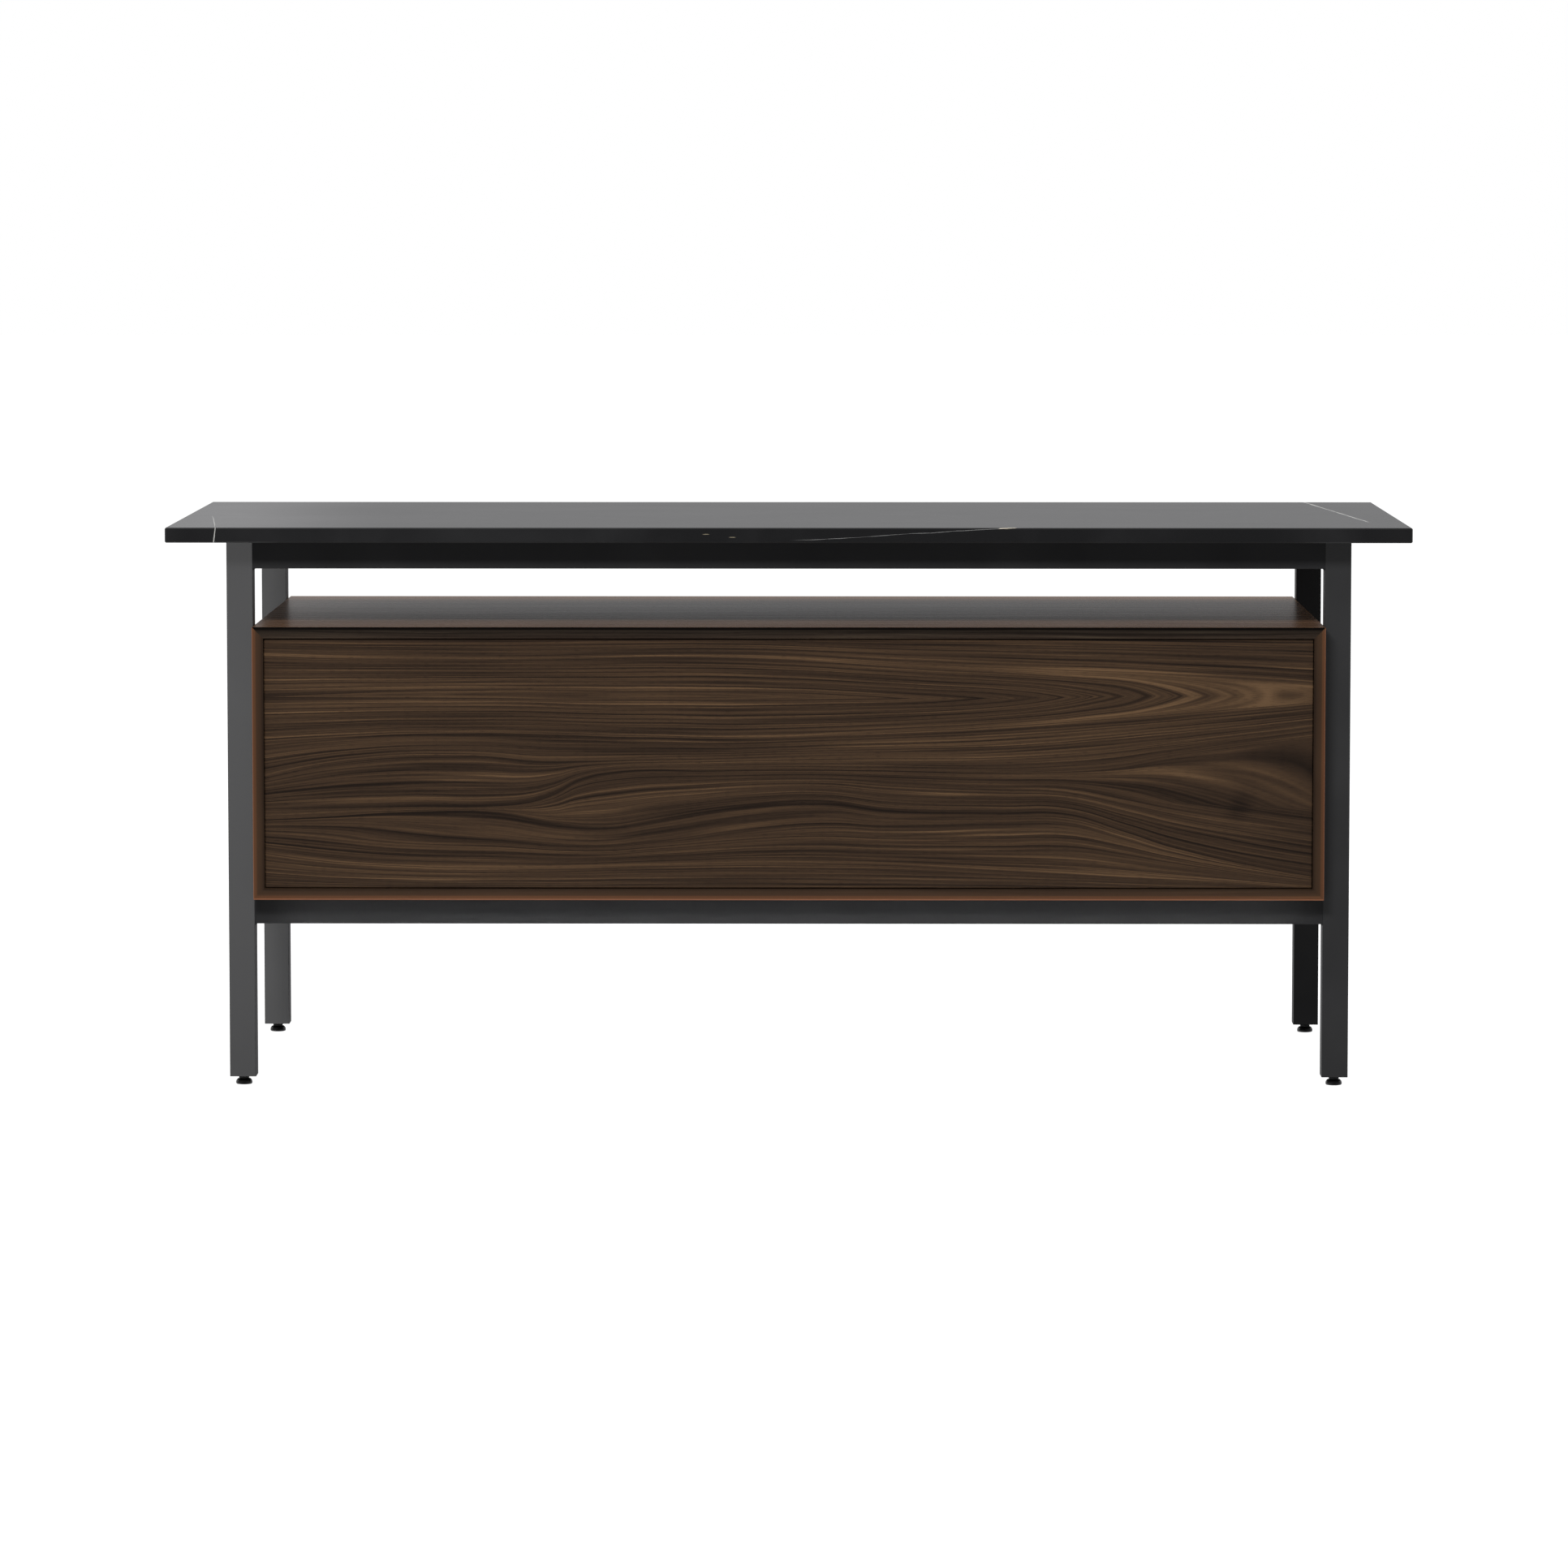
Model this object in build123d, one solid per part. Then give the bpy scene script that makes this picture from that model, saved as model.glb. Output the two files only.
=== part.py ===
from build123d import *
from dataclasses import dataclass
import os

# A writing desk: a black stone slab on a square-tube steel frame, with a walnut case between the legs.
# One long panel closes the case on the visitor's side. On the user's side it holds four drawers, in two
# pedestals with a kneehole between them.
# Millimetres. +Z is up, the visitor is at -Y and the user at +Y, and +X is right as the visitor sees it.
# The origin is on the floor, under the centre of the slab.

# Overall sizes
TOP_WIDTH = 1650.0
TOP_DEPTH = 700.0
DESK_HEIGHT = 750.0

# Stone slab and the pads it lies on
SLAB_THICKNESS = 20.0
SLAB_ARRIS = 1.5
PAD_THICKNESS = 2.0
PAD_RADIUS = 12.0
PADS_PER_RAIL = 5

# Steel frame
TUBE = 35.0
TUBE_WALL = 2.0
TUBE_CORNER = 0.8
END_OVERHANG = 77.0
EDGE_OVERHANG = 50.0
LOWER_RAIL_UNDERSIDE = 218.0

# Bolts inside the ends of the rails that run front to back. These rails join the visitor's frame to the
# user's, and both of those are welded. A bolt bears on its rail's end wall and screws into a thick pad.
RAIL_END_WALL = 5.0
THREAD_PAD = 4.0
THREAD_PAD_LENGTH = 24.0
BOLT_ACCESS_RADIUS = 8.0
BOLT_ACCESS_SETBACK = 20.0
BOLT_RADIUS = 2.95
BOLT_THREAD_CLEARANCE = 0.05
BOLT_HOLE_CLEARANCE = 0.35
BOLT_HEAD_RADIUS = 5.5
BOLT_HEAD_HEIGHT = 3.3
BOLT_HEAD_ROUND = 2.0
BOLT_SOCKET_FLATS = 4.0
BOLT_SOCKET_DEPTH = 2.0
BOLT_TIP = 1.0

# Levelling feet and the plugs that hold them
FOOT_REACH = 12.0
FOOT_BASE_RADIUS = 11.0
FOOT_BASE_HEIGHT = 8.0
FOOT_EASE = 1.5
FOOT_NECK_RADIUS = 8.0
FOOT_NECK_HEIGHT = 2.5
STUD_RADIUS = 3.9
STUD_CLEARANCE = 0.1
STUD_ENGAGEMENT = 26.0
PLUG_DEPTH = 22.0
PLUG_CLEARANCE = 0.1

# Walnut case
SHELF_GAP = 76.0
CASE_PROUD = 30.0
CASE_CLEARANCE = 0.5
BOARD = 15.0
BOARD_ARRIS = 0.6
PEDESTAL_WIDTH = 395.0
STRINGER_DEPTH = 60.0
PANEL_THICKNESS = 12.0
PANEL_RECESS = 4.0
SHADOW_GROOVE_WIDTH = 1.2
SHADOW_GROOVE_DEPTH = 5.0

# Screws that come up through the lower rails into the case
SCREW_RADIUS = 2.0
SCREW_CLEARANCE = 0.05
SCREW_HEAD_RADIUS = 4.0
SCREW_HEAD_HEIGHT = 2.5
SCREW_BITE = 11.0
SCREW_INSET = 60.0
SCREW_ACCESS_RADIUS = 6.0
VISITOR_SCREWS = 4

# Dowels between the partitions and the boards above and below them
DOWEL_RADIUS = 4.0
DOWEL_BITE = 9.0
DOWEL_CLEARANCE = 0.05
DOWEL_INSET = 40.0
DOWELS_PER_JOINT = 3

# Drawers
FRONT_THICKNESS = 18.0
FRONT_GAP = 2.5
FRONT_RECESS = 4.0
BOX_BOARD = 12.0
BOX_UNDER_GAP = 14.0
BOX_OVER_GAP = 28.0
BOX_BOTTOM = 6.0
BOX_BOTTOM_RAISE = 10.0
GROOVE_DEPTH = 5.0
GROOVE_CLEARANCE = 0.2

# Telescopic runners: a cabinet member, a middle member and a drawer member, one inside the next
RUNNER_THICKNESS = 12.7
RUNNER_HEIGHT = 45.0
RUNNER_SHEET = 1.2
BALL_RACE = 2.8
WEB_GAP = 1.0
FLANGE_SETBACK = 2.2
RUNNER_STEP = 50.0
RUNNER_SETBACK = 2.0
RUNNER_BACK_SPACE = 50.0

# Edge pulls, bent over the top of each drawer front
PULL_LENGTH = 160.0
PULL_SHEET = 2.0
PULL_REACH = 16.0
PULL_LIP = 14.0
PULL_FLANGE = 22.0
PULL_BEND = 1.2
PULL_CLEARANCE = 0.15

SIDES = {"left": -1, "right": 1}
ENDS = {"visitor": -1, "user": 1}
CORNERS = [(side, end) for side in SIDES for end in ENDS]
LEVELS = ["lower", "upper"]

# Places that follow from the sizes above
SLAB_UNDERSIDE = DESK_HEIGHT - SLAB_THICKNESS
FRAME_TOP = SLAB_UNDERSIDE - PAD_THICKNESS
FRAME_X = TOP_WIDTH / 2 - END_OVERHANG
FRAME_Y = TOP_DEPTH / 2 - EDGE_OVERHANG
INNER_X = FRAME_X - TUBE
INNER_Y = FRAME_Y - TUBE
LEG_X = FRAME_X - TUBE / 2
LEG_Y = FRAME_Y - TUBE / 2
UPPER_RAIL_Z = FRAME_TOP - TUBE / 2
LOWER_RAIL_Z = LOWER_RAIL_UNDERSIDE + TUBE / 2

CASE_X = INNER_X - CASE_CLEARANCE
CASE_Y = FRAME_Y + CASE_PROUD
CASE_BOTTOM = LOWER_RAIL_UNDERSIDE + TUBE
CASE_TOP = FRAME_TOP - TUBE - SHELF_GAP
INSIDE_X = CASE_X - BOARD
INSIDE_BOTTOM = CASE_BOTTOM + BOARD
INSIDE_TOP = CASE_TOP - BOARD
KNEE_X = CASE_X - PEDESTAL_WIDTH
KNEE_RAIL_X = KNEE_X + TUBE / 2
STRINGER_Y = STRINGER_DEPTH - CASE_Y
PANEL_Y = PANEL_RECESS - CASE_Y
PANEL_INSIDE_Y = PANEL_Y + PANEL_THICKNESS

OPENING_INNER_X = KNEE_X + BOARD
OPENING_WIDTH = INSIDE_X - OPENING_INNER_X
OPENING_X = (INSIDE_X + OPENING_INNER_X) / 2
OPENING_HEIGHT = INSIDE_TOP - INSIDE_BOTTOM
FRONT_HEIGHT = (OPENING_HEIGHT - FRONT_GAP) / len(LEVELS) - FRONT_GAP
FRONT_Y = CASE_Y - FRONT_RECESS
FRONT_INSIDE_Y = FRONT_Y - FRONT_THICKNESS
RUNNER_FRONT_Y = FRONT_INSIDE_Y - RUNNER_SETBACK
RUNNER_ROOM = RUNNER_FRONT_Y - RUNNER_BACK_SPACE - PANEL_INSIDE_Y
RUNNER_LENGTH = RUNNER_STEP * (RUNNER_ROOM // RUNNER_STEP)
BOX_BACK_Y = RUNNER_FRONT_Y - RUNNER_LENGTH
BOX_HALF_WIDTH = OPENING_WIDTH / 2 - RUNNER_THICKNESS


@dataclass
class Drawer:
    """One drawer's place: the centre of its pedestal's opening, and its front's lower edge."""

    name: str
    x: float
    z: float

    @property
    def top(self):
        """The front's upper edge."""
        return self.z + FRONT_HEIGHT

    @property
    def box_z(self):
        """The lower and upper edges of the box's sides."""
        return self.z + BOX_UNDER_GAP, self.top - BOX_OVER_GAP

    @property
    def floor_z(self):
        """The lower and upper faces of the box's bottom."""
        low = self.box_z[0] + BOX_BOTTOM_RAISE
        return low, low + BOX_BOTTOM

    @property
    def runner_z(self):
        """The runners' mid-height, halfway up the box's sides."""
        return sum(self.box_z) / 2


def drawers():
    """The drawers, from the lower one up in each pedestal."""
    return [
        Drawer(
            f"{LEVELS[level]}_{side_name}",
            side * OPENING_X,
            INSIDE_BOTTOM + FRONT_GAP + level * (FRONT_HEIGHT + FRONT_GAP),
        )
        for side_name, side in SIDES.items()
        for level in range(len(LEVELS))
    ]


def block(x, y, z):
    """A box between two limits on each axis, given in either order."""
    size = (abs(x[1] - x[0]), abs(y[1] - y[0]), abs(z[1] - z[0]))
    return Pos(min(x), min(y), min(z)) * Box(*size, align=(Align.MIN, Align.MIN, Align.MIN))


def rod(radius, start, length, axis=(0, 0, 1)):
    """A round rod from a point along an axis."""
    return extrude(Plane(start, z_dir=axis) * Circle(radius), length)


def prism(origin, x_dir, direction, points, length):
    """A straight prism: an outline in the plane at a point square to a direction, taken along it."""
    plane = Plane(origin, x_dir=x_dir, z_dir=direction)
    return extrude(plane * Polygon(*points, align=None), length, dir=direction)


def spread(low, high, count):
    """Evenly spaced places from low to high, both included."""
    return [low + (high - low) * i / (count - 1) for i in range(count)]


def cut_each(shape, cutters):
    """The shape without any of the cutters."""
    for cutter in cutters:
        shape = shape - cutter
    return shape


# Stone slab and pads


def marble_top():
    """The slab, with its edges eased."""
    x, y = TOP_WIDTH / 2, TOP_DEPTH / 2
    slab = block((-x, x), (-y, y), (SLAB_UNDERSIDE, DESK_HEIGHT))
    return chamfer(slab.edges(), SLAB_ARRIS)


def top_pads():
    """Round pads on the long upper rails and the leg tops."""
    return [
        rod(PAD_RADIUS, (x, end * LEG_Y, FRAME_TOP), PAD_THICKNESS)
        for end in ENDS.values()
        for x in spread(-LEG_X, LEG_X, PADS_PER_RAIL)
    ]


# Steel frame


def tube(start, length, axis):
    """A square tube with rounded corners, centred on a line from a point along an axis."""
    plane = Plane(start, x_dir=(0, 1, 0) if axis[0] else (1, 0, 0), z_dir=axis)
    bore = TUBE - 2 * TUBE_WALL
    return extrude(plane * (RectangleRounded(TUBE, TUBE, TUBE_CORNER) - Rectangle(bore, bore)), length)


def tube_wall(start, axis, thickness):
    """A wall that closes a tube's end, from a point on its centre line inwards."""
    plane = Plane(start, x_dir=(0, 1, 0) if axis[0] else (1, 0, 0), z_dir=axis)
    bore = TUBE - 2 * TUBE_WALL
    return extrude(plane * Rectangle(bore, bore), thickness)


def leg(side, end):
    """A leg, closed at its top and open at its foot, with threads for the bolts of its two end rails."""
    x, y = side * LEG_X, end * LEG_Y
    body = tube((x, y, FOOT_REACH), FRAME_TOP - FOOT_REACH, (0, 0, 1))
    body += tube_wall((x, y, FRAME_TOP), (0, 0, -1), TUBE_WALL)
    for z in (LOWER_RAIL_Z, UPPER_RAIL_Z):
        body = threaded(body, (x, end * INNER_Y, z), end, (0, 0, 1))
    return body


def threaded(body, seat, outward, along):
    """The tube body with a thick threaded pad behind its wall, for a bolt that enters at seat along Y.

    along is the tube's own axis.
    """
    depth = TUBE_WALL + THREAD_PAD
    bore = TUBE - 2 * TUBE_WALL
    x, y, z = seat
    width = THREAD_PAD_LENGTH if along[0] else bore
    height = bore if along[0] else THREAD_PAD_LENGTH
    pad_y = (y + outward * TUBE_WALL, y + outward * depth)
    pad = block((x - width / 2, x + width / 2), pad_y, (z - height / 2, z + height / 2))
    return body + pad - rod(BOLT_RADIUS + BOLT_THREAD_CLEARANCE, seat, depth, (0, outward, 0))


def end_walls(rail, x, z, ends):
    """The rail with a drilled wall in each of these ends, and a hole below it for the hexagon key."""
    for end in ends:
        seat = (x, end * INNER_Y, z)
        rail += tube_wall(seat, (0, -end, 0), RAIL_END_WALL)
        rail -= rod(BOLT_RADIUS + BOLT_HOLE_CLEARANCE, seat, RAIL_END_WALL, (0, -end, 0))
        access_y = end * (INNER_Y - BOLT_ACCESS_SETBACK)
        rail -= rod(BOLT_ACCESS_RADIUS, (x, access_y, z - TUBE / 2), TUBE_WALL)
    return rail


def end_rail(side, z):
    """A rail from front to back between the two legs of one end, bolted at both its ends."""
    x = side * LEG_X
    return end_walls(tube((x, -INNER_Y, z), 2 * INNER_Y, (0, 1, 0)), x, z, ENDS.values())


def long_rail(end, z):
    """A rail between the legs of the visitor's or the user's side."""
    return tube((-INNER_X, end * LEG_Y, z), 2 * INNER_X, (1, 0, 0))


def visitor_lower_rail():
    """The rail under the visitor's side of the case, with threads for the knee rails' bolts."""
    rail = long_rail(ENDS["visitor"], LOWER_RAIL_Z)
    for side in SIDES.values():
        rail = threaded(rail, (side * KNEE_RAIL_X, -INNER_Y, LOWER_RAIL_Z), ENDS["visitor"], (1, 0, 0))
    return cut_each(rail, screw_holes(visitor_screws()))


def knee_rail(side):
    """A rail along the kneehole, bolted to the visitor's lower rail and closed on the user's side."""
    x = side * KNEE_RAIL_X
    rail = tube((x, -INNER_Y, LOWER_RAIL_Z), FRAME_Y + INNER_Y, (0, 1, 0))
    rail += tube_wall((x, FRAME_Y, LOWER_RAIL_Z), (0, -1, 0), TUBE_WALL)
    rail = end_walls(rail, x, LOWER_RAIL_Z, [ENDS["visitor"]])
    return cut_each(rail, screw_holes(knee_screws(side)))


def user_rail(side):
    """A short rail on the user's side, from a leg to the knee rail."""
    rail = tube((side * INNER_X, LEG_Y, LOWER_RAIL_Z), INNER_X - KNEE_X - TUBE, (-side, 0, 0))
    return cut_each(rail, screw_holes(user_screws(side)))


def screw_holes(places):
    """Clearance holes for the case's screws in a lower rail, and holes below them for the driver."""
    floor = LOWER_RAIL_UNDERSIDE
    for x, y in places:
        yield rod(SCREW_RADIUS + SCREW_CLEARANCE, (x, y, CASE_BOTTOM - TUBE_WALL), TUBE_WALL)
        yield rod(SCREW_ACCESS_RADIUS, (x, y, floor), TUBE_WALL)


def frame_tubes():
    """Every tube of the frame by name."""
    tubes = {f"leg_{end}_{side}": leg(SIDES[side], ENDS[end]) for side, end in CORNERS}
    for end_name, end in ENDS.items():
        tubes[f"upper_rail_{end_name}"] = long_rail(end, UPPER_RAIL_Z)
    for side_name, side in SIDES.items():
        tubes[f"upper_rail_{side_name}"] = end_rail(side, UPPER_RAIL_Z)
        tubes[f"lower_rail_{side_name}"] = end_rail(side, LOWER_RAIL_Z)
        tubes[f"knee_rail_{side_name}"] = knee_rail(side)
    tubes["lower_rail_visitor"] = visitor_lower_rail()
    tubes["lower_rails_user"] = [user_rail(side) for side in SIDES.values()]
    return tubes


def bolt_seats():
    """Where each bolt leaves its rail's end, and the end that it points to."""
    seats = [
        ((side * LEG_X, end * INNER_Y, z), end)
        for side in SIDES.values()
        for end in ENDS.values()
        for z in (LOWER_RAIL_Z, UPPER_RAIL_Z)
    ]
    visitor = ENDS["visitor"]
    return seats + [((side * KNEE_RAIL_X, -INNER_Y, LOWER_RAIL_Z), visitor) for side in SIDES.values()]


def frame_bolt(seat, end):
    """A button-head bolt through a rail's end wall into the threaded pad beyond it."""
    x, y, z = seat
    outward = (0, end, 0)
    under_head = (x, y - end * RAIL_END_WALL, z)
    crown = (x, under_head[1] - end * BOLT_HEAD_HEIGHT, z)
    head = rod(BOLT_HEAD_RADIUS, crown, BOLT_HEAD_HEIGHT, outward)
    rim = head.edges().filter_by(GeomType.CIRCLE).sort_by_distance(crown)[0]
    head = fillet(rim, BOLT_HEAD_ROUND)
    hexagon = RegularPolygon(BOLT_SOCKET_FLATS / 2, 6, major_radius=False)
    socket = extrude(Plane(crown, z_dir=outward) * hexagon, BOLT_SOCKET_DEPTH)
    length = RAIL_END_WALL + TUBE_WALL + THREAD_PAD + BOLT_TIP
    return head + rod(BOLT_RADIUS, under_head, length, outward) - socket


def frame_bolts():
    """The bolts that join the two welded frames."""
    return [frame_bolt(seat, end) for seat, end in bolt_seats()]


# Levelling feet


def leg_plug(side, end):
    """A square plug in a leg's open end, bored for a levelling foot's stud."""
    width = TUBE - 2 * TUBE_WALL - 2 * PLUG_CLEARANCE
    section = Rectangle(width, width) - Circle(STUD_RADIUS + STUD_CLEARANCE)
    return extrude(Plane((side * LEG_X, end * LEG_Y, FOOT_REACH)) * section, PLUG_DEPTH)


def levelling_foot(side, end):
    """A low round base with a neck, and the stud that screws into the leg's plug."""
    base = rod(FOOT_BASE_RADIUS, (0, 0, 0), FOOT_BASE_HEIGHT)
    base = chamfer(base.edges().filter_by(GeomType.CIRCLE), FOOT_EASE)
    neck = rod(FOOT_NECK_RADIUS, (0, 0, FOOT_BASE_HEIGHT), FOOT_NECK_HEIGHT)
    stud = rod(STUD_RADIUS, (0, 0, FOOT_BASE_HEIGHT), FOOT_REACH + STUD_ENGAGEMENT - FOOT_BASE_HEIGHT)
    return Pos(side * LEG_X, end * LEG_Y, 0) * (base + neck + stud)


# Screws and dowels of the case


def visitor_screws():
    """Places of the screws through the visitor's lower rail."""
    return [(x, -LEG_Y) for x in spread(SCREW_INSET - INNER_X, INNER_X - SCREW_INSET, VISITOR_SCREWS)]


def knee_screws(side):
    """Places of the screws through one knee rail."""
    return [(side * KNEE_RAIL_X, y) for y in (STRINGER_Y + SCREW_INSET, INNER_Y - SCREW_INSET)]


def user_screws(side):
    """Places of the screws through one short rail on the user's side."""
    return [(side * x, LEG_Y) for x in (KNEE_X + TUBE + SCREW_INSET, INNER_X - SCREW_INSET)]


def case_screw_places():
    """Places of all the screws that hold the case down."""
    places = visitor_screws()
    for side in SIDES.values():
        places += knee_screws(side) + user_screws(side)
    return places


def case_screws():
    """Screws whose heads bear on the inside of the lower rails' upper wall."""
    seat = CASE_BOTTOM - TUBE_WALL
    return [
        rod(SCREW_HEAD_RADIUS, (x, y, seat - SCREW_HEAD_HEIGHT), SCREW_HEAD_HEIGHT)
        + rod(SCREW_RADIUS, (x, y, seat), TUBE_WALL + SCREW_BITE)
        for x, y in case_screw_places()
    ]


def screw_pilots():
    """Pilot holes for those screws in the case's bottom."""
    radius = SCREW_RADIUS + SCREW_CLEARANCE
    return [rod(radius, (x, y, CASE_BOTTOM), SCREW_BITE) for x, y in case_screw_places()]


def dowel_rods(radius):
    """Rods of one radius at every dowel's place in the partitions' joints."""
    return [
        rod(radius, (side * (KNEE_X + BOARD / 2), y, z - DOWEL_BITE), 2 * DOWEL_BITE)
        for side in SIDES.values()
        for y in spread(STRINGER_Y + DOWEL_INSET, CASE_Y - DOWEL_INSET, DOWELS_PER_JOINT)
        for z in (INSIDE_BOTTOM, INSIDE_TOP)
    ]


def dowel_bores():
    """The holes that the dowels fit."""
    return dowel_rods(DOWEL_RADIUS + DOWEL_CLEARANCE)


# Walnut case


def outer_board(corners):
    """A board as deep as the case, with this outline in X and Z and its outer face's edges eased."""
    board = prism((0, -CASE_Y, 0), (-1, 0, 0), (0, 1, 0), [(-x, z) for x, z in corners], 2 * CASE_Y)
    return chamfer(board.faces().sort_by(SortBy.AREA)[-1].edges(), BOARD_ARRIS)


def case_top():
    """The case's top board, mitred to its sides."""
    corners = [(-CASE_X, CASE_TOP), (CASE_X, CASE_TOP), (INSIDE_X, INSIDE_TOP), (-INSIDE_X, INSIDE_TOP)]
    return cut_each(outer_board(corners), dowel_bores())


def case_bottom():
    """The case's bottom board, mitred to its sides and cut out for the kneehole."""
    corners = [
        (-CASE_X, CASE_BOTTOM),
        (CASE_X, CASE_BOTTOM),
        (INSIDE_X, INSIDE_BOTTOM),
        (-INSIDE_X, INSIDE_BOTTOM),
    ]
    kneehole = block((-KNEE_X, KNEE_X), (STRINGER_Y, CASE_Y), (CASE_BOTTOM, INSIDE_BOTTOM))
    return cut_each(outer_board(corners) - kneehole, dowel_bores() + screw_pilots())


def case_side(side):
    """A side board, mitred to the top and the bottom."""
    corners = [
        (side * CASE_X, CASE_BOTTOM),
        (side * CASE_X, CASE_TOP),
        (side * INSIDE_X, INSIDE_TOP),
        (side * INSIDE_X, INSIDE_BOTTOM),
    ]
    return outer_board(corners)


def partition(side):
    """An upright board between a pedestal's drawers and the kneehole."""
    x = (side * KNEE_X, side * OPENING_INNER_X)
    board = block(x, (PANEL_INSIDE_Y, CASE_Y), (INSIDE_BOTTOM, INSIDE_TOP))
    board = chamfer(board.faces().sort_by(Axis.Y)[-1].edges().filter_by(Axis.Z), BOARD_ARRIS)
    return cut_each(board, dowel_bores())


def closing_panel():
    """The long panel on the visitor's side, rebated all round so that a shadow groove shows."""
    step_y = PANEL_Y + SHADOW_GROOVE_DEPTH
    back = block((-INSIDE_X, INSIDE_X), (step_y, PANEL_INSIDE_Y), (INSIDE_BOTTOM, INSIDE_TOP))
    face_x = INSIDE_X - SHADOW_GROOVE_WIDTH
    face_z = (INSIDE_BOTTOM + SHADOW_GROOVE_WIDTH, INSIDE_TOP - SHADOW_GROOVE_WIDTH)
    face = block((-face_x, face_x), (PANEL_Y, step_y), face_z)
    return back + chamfer(face.faces().sort_by(Axis.Y)[0].edges(), BOARD_ARRIS)


# Drawers


def drawer_front(drawer):
    """A drawer's front: grooved behind for the bottom, and rebated on top for the pull."""
    half = OPENING_WIDTH / 2 - FRONT_GAP
    front = block((drawer.x - half, drawer.x + half), (FRONT_INSIDE_Y, FRONT_Y), (drawer.z, drawer.top))
    front = chamfer(front.faces().sort_by(Axis.Y)[-1].edges(), BOARD_ARRIS)
    reach = PULL_LENGTH / 2 + PULL_CLEARANCE
    rebate_z = (drawer.top - PULL_SHEET, drawer.top)
    rebate = block((drawer.x - reach, drawer.x + reach), (FRONT_INSIDE_Y, FRONT_Y), rebate_z)
    return front - rebate - bottom_groove(drawer)


def bottom_groove(drawer):
    """The groove for the box's bottom, in the sides and the front."""
    low, high = drawer.floor_z
    half = BOX_HALF_WIDTH - BOX_BOARD + GROOVE_DEPTH
    y = (BOX_BACK_Y, FRONT_INSIDE_Y + GROOVE_DEPTH)
    return block((drawer.x - half, drawer.x + half), y, (low, high + GROOVE_CLEARANCE))


def drawer_side(drawer, side):
    """One side of a drawer's box, grooved for its bottom, with its upper edges eased."""
    x = (drawer.x + side * (BOX_HALF_WIDTH - BOX_BOARD), drawer.x + side * BOX_HALF_WIDTH)
    board = block(x, (BOX_BACK_Y, FRONT_INSIDE_Y), drawer.box_z)
    board = chamfer(board.faces().sort_by(Axis.Z)[-1].edges().filter_by(Axis.Y), BOARD_ARRIS)
    return board - bottom_groove(drawer)


def drawer_back(drawer):
    """The back of a drawer's box, which stands on its bottom."""
    half = BOX_HALF_WIDTH - BOX_BOARD
    z = (drawer.floor_z[1], drawer.box_z[1])
    return block((drawer.x - half, drawer.x + half), (BOX_BACK_Y, BOX_BACK_Y + BOX_BOARD), z)


def drawer_bottom(drawer):
    """The thin bottom, held in the grooves."""
    half = BOX_HALF_WIDTH - BOX_BOARD + GROOVE_DEPTH - GROOVE_CLEARANCE
    y = (BOX_BACK_Y, FRONT_INSIDE_Y + GROOVE_DEPTH - GROOVE_CLEARANCE)
    return block((drawer.x - half, drawer.x + half), y, drawer.floor_z)


def drawer_pull(drawer):
    """A strip bent over the front's top: a flange behind it, and a lip ahead of it for the fingers."""
    nose = FRONT_Y + PULL_REACH
    tail = FRONT_INSIDE_Y - PULL_SHEET
    top = drawer.top
    points = [
        (tail, top - PULL_FLANGE),
        (tail, top),
        (nose, top),
        (nose, top - PULL_LIP),
        (nose - PULL_SHEET, top - PULL_LIP),
        (nose - PULL_SHEET, top - PULL_SHEET),
        (FRONT_INSIDE_Y, top - PULL_SHEET),
        (FRONT_INSIDE_Y, top - PULL_FLANGE),
    ]
    strip = prism((drawer.x - PULL_LENGTH / 2, 0, 0), (0, 1, 0), (1, 0, 0), points, PULL_LENGTH)
    underside = strip.edges().filter_by(Axis.X).group_by(Axis.Z)[-2]
    strip = fillet(underside.sort_by(Axis.Y)[-1], PULL_BEND)
    return fillet(strip.edges().filter_by(Axis.X).group_by(Axis.Z)[-1], PULL_BEND + PULL_SHEET)


# Telescopic runners


def channel(web, lip, half_height):
    """The outline of a runner's member: a web, and two flanges from it to their lips.

    web and lip are distances from the cabinet's wall.
    """
    web_face = web + (RUNNER_SHEET if lip > web else -RUNNER_SHEET)
    flange_face = half_height - RUNNER_SHEET
    return [
        (lip, half_height),
        (web, half_height),
        (web, -half_height),
        (lip, -half_height),
        (lip, -flange_face),
        (web_face, -flange_face),
        (web_face, flange_face),
        (lip, flange_face),
    ]


def runner_sections():
    """The outlines of the cabinet, middle and drawer members."""
    step = RUNNER_SHEET + BALL_RACE
    half = RUNNER_HEIGHT / 2
    middle_web = RUNNER_SHEET + WEB_GAP
    drawer_lip = middle_web + RUNNER_SHEET + WEB_GAP
    flange_end = RUNNER_THICKNESS - FLANGE_SETBACK
    return {
        "cabinet": channel(0, flange_end, half),
        "middle": channel(middle_web, flange_end, half - step),
        "drawer": channel(RUNNER_THICKNESS, drawer_lip, half - 2 * step),
    }


def runner_pair(drawer, outline):
    """One member on each side of a drawer, from the runners' back end to their front end."""
    pair = []
    for side in SIDES.values():
        wall = (drawer.x + side * OPENING_WIDTH / 2, BOX_BACK_Y, drawer.runner_z)
        points = [(side * across, up) for across, up in outline]
        pair.append(prism(wall, (-1, 0, 0), (0, 1, 0), points, RUNNER_LENGTH))
    return pair


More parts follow.
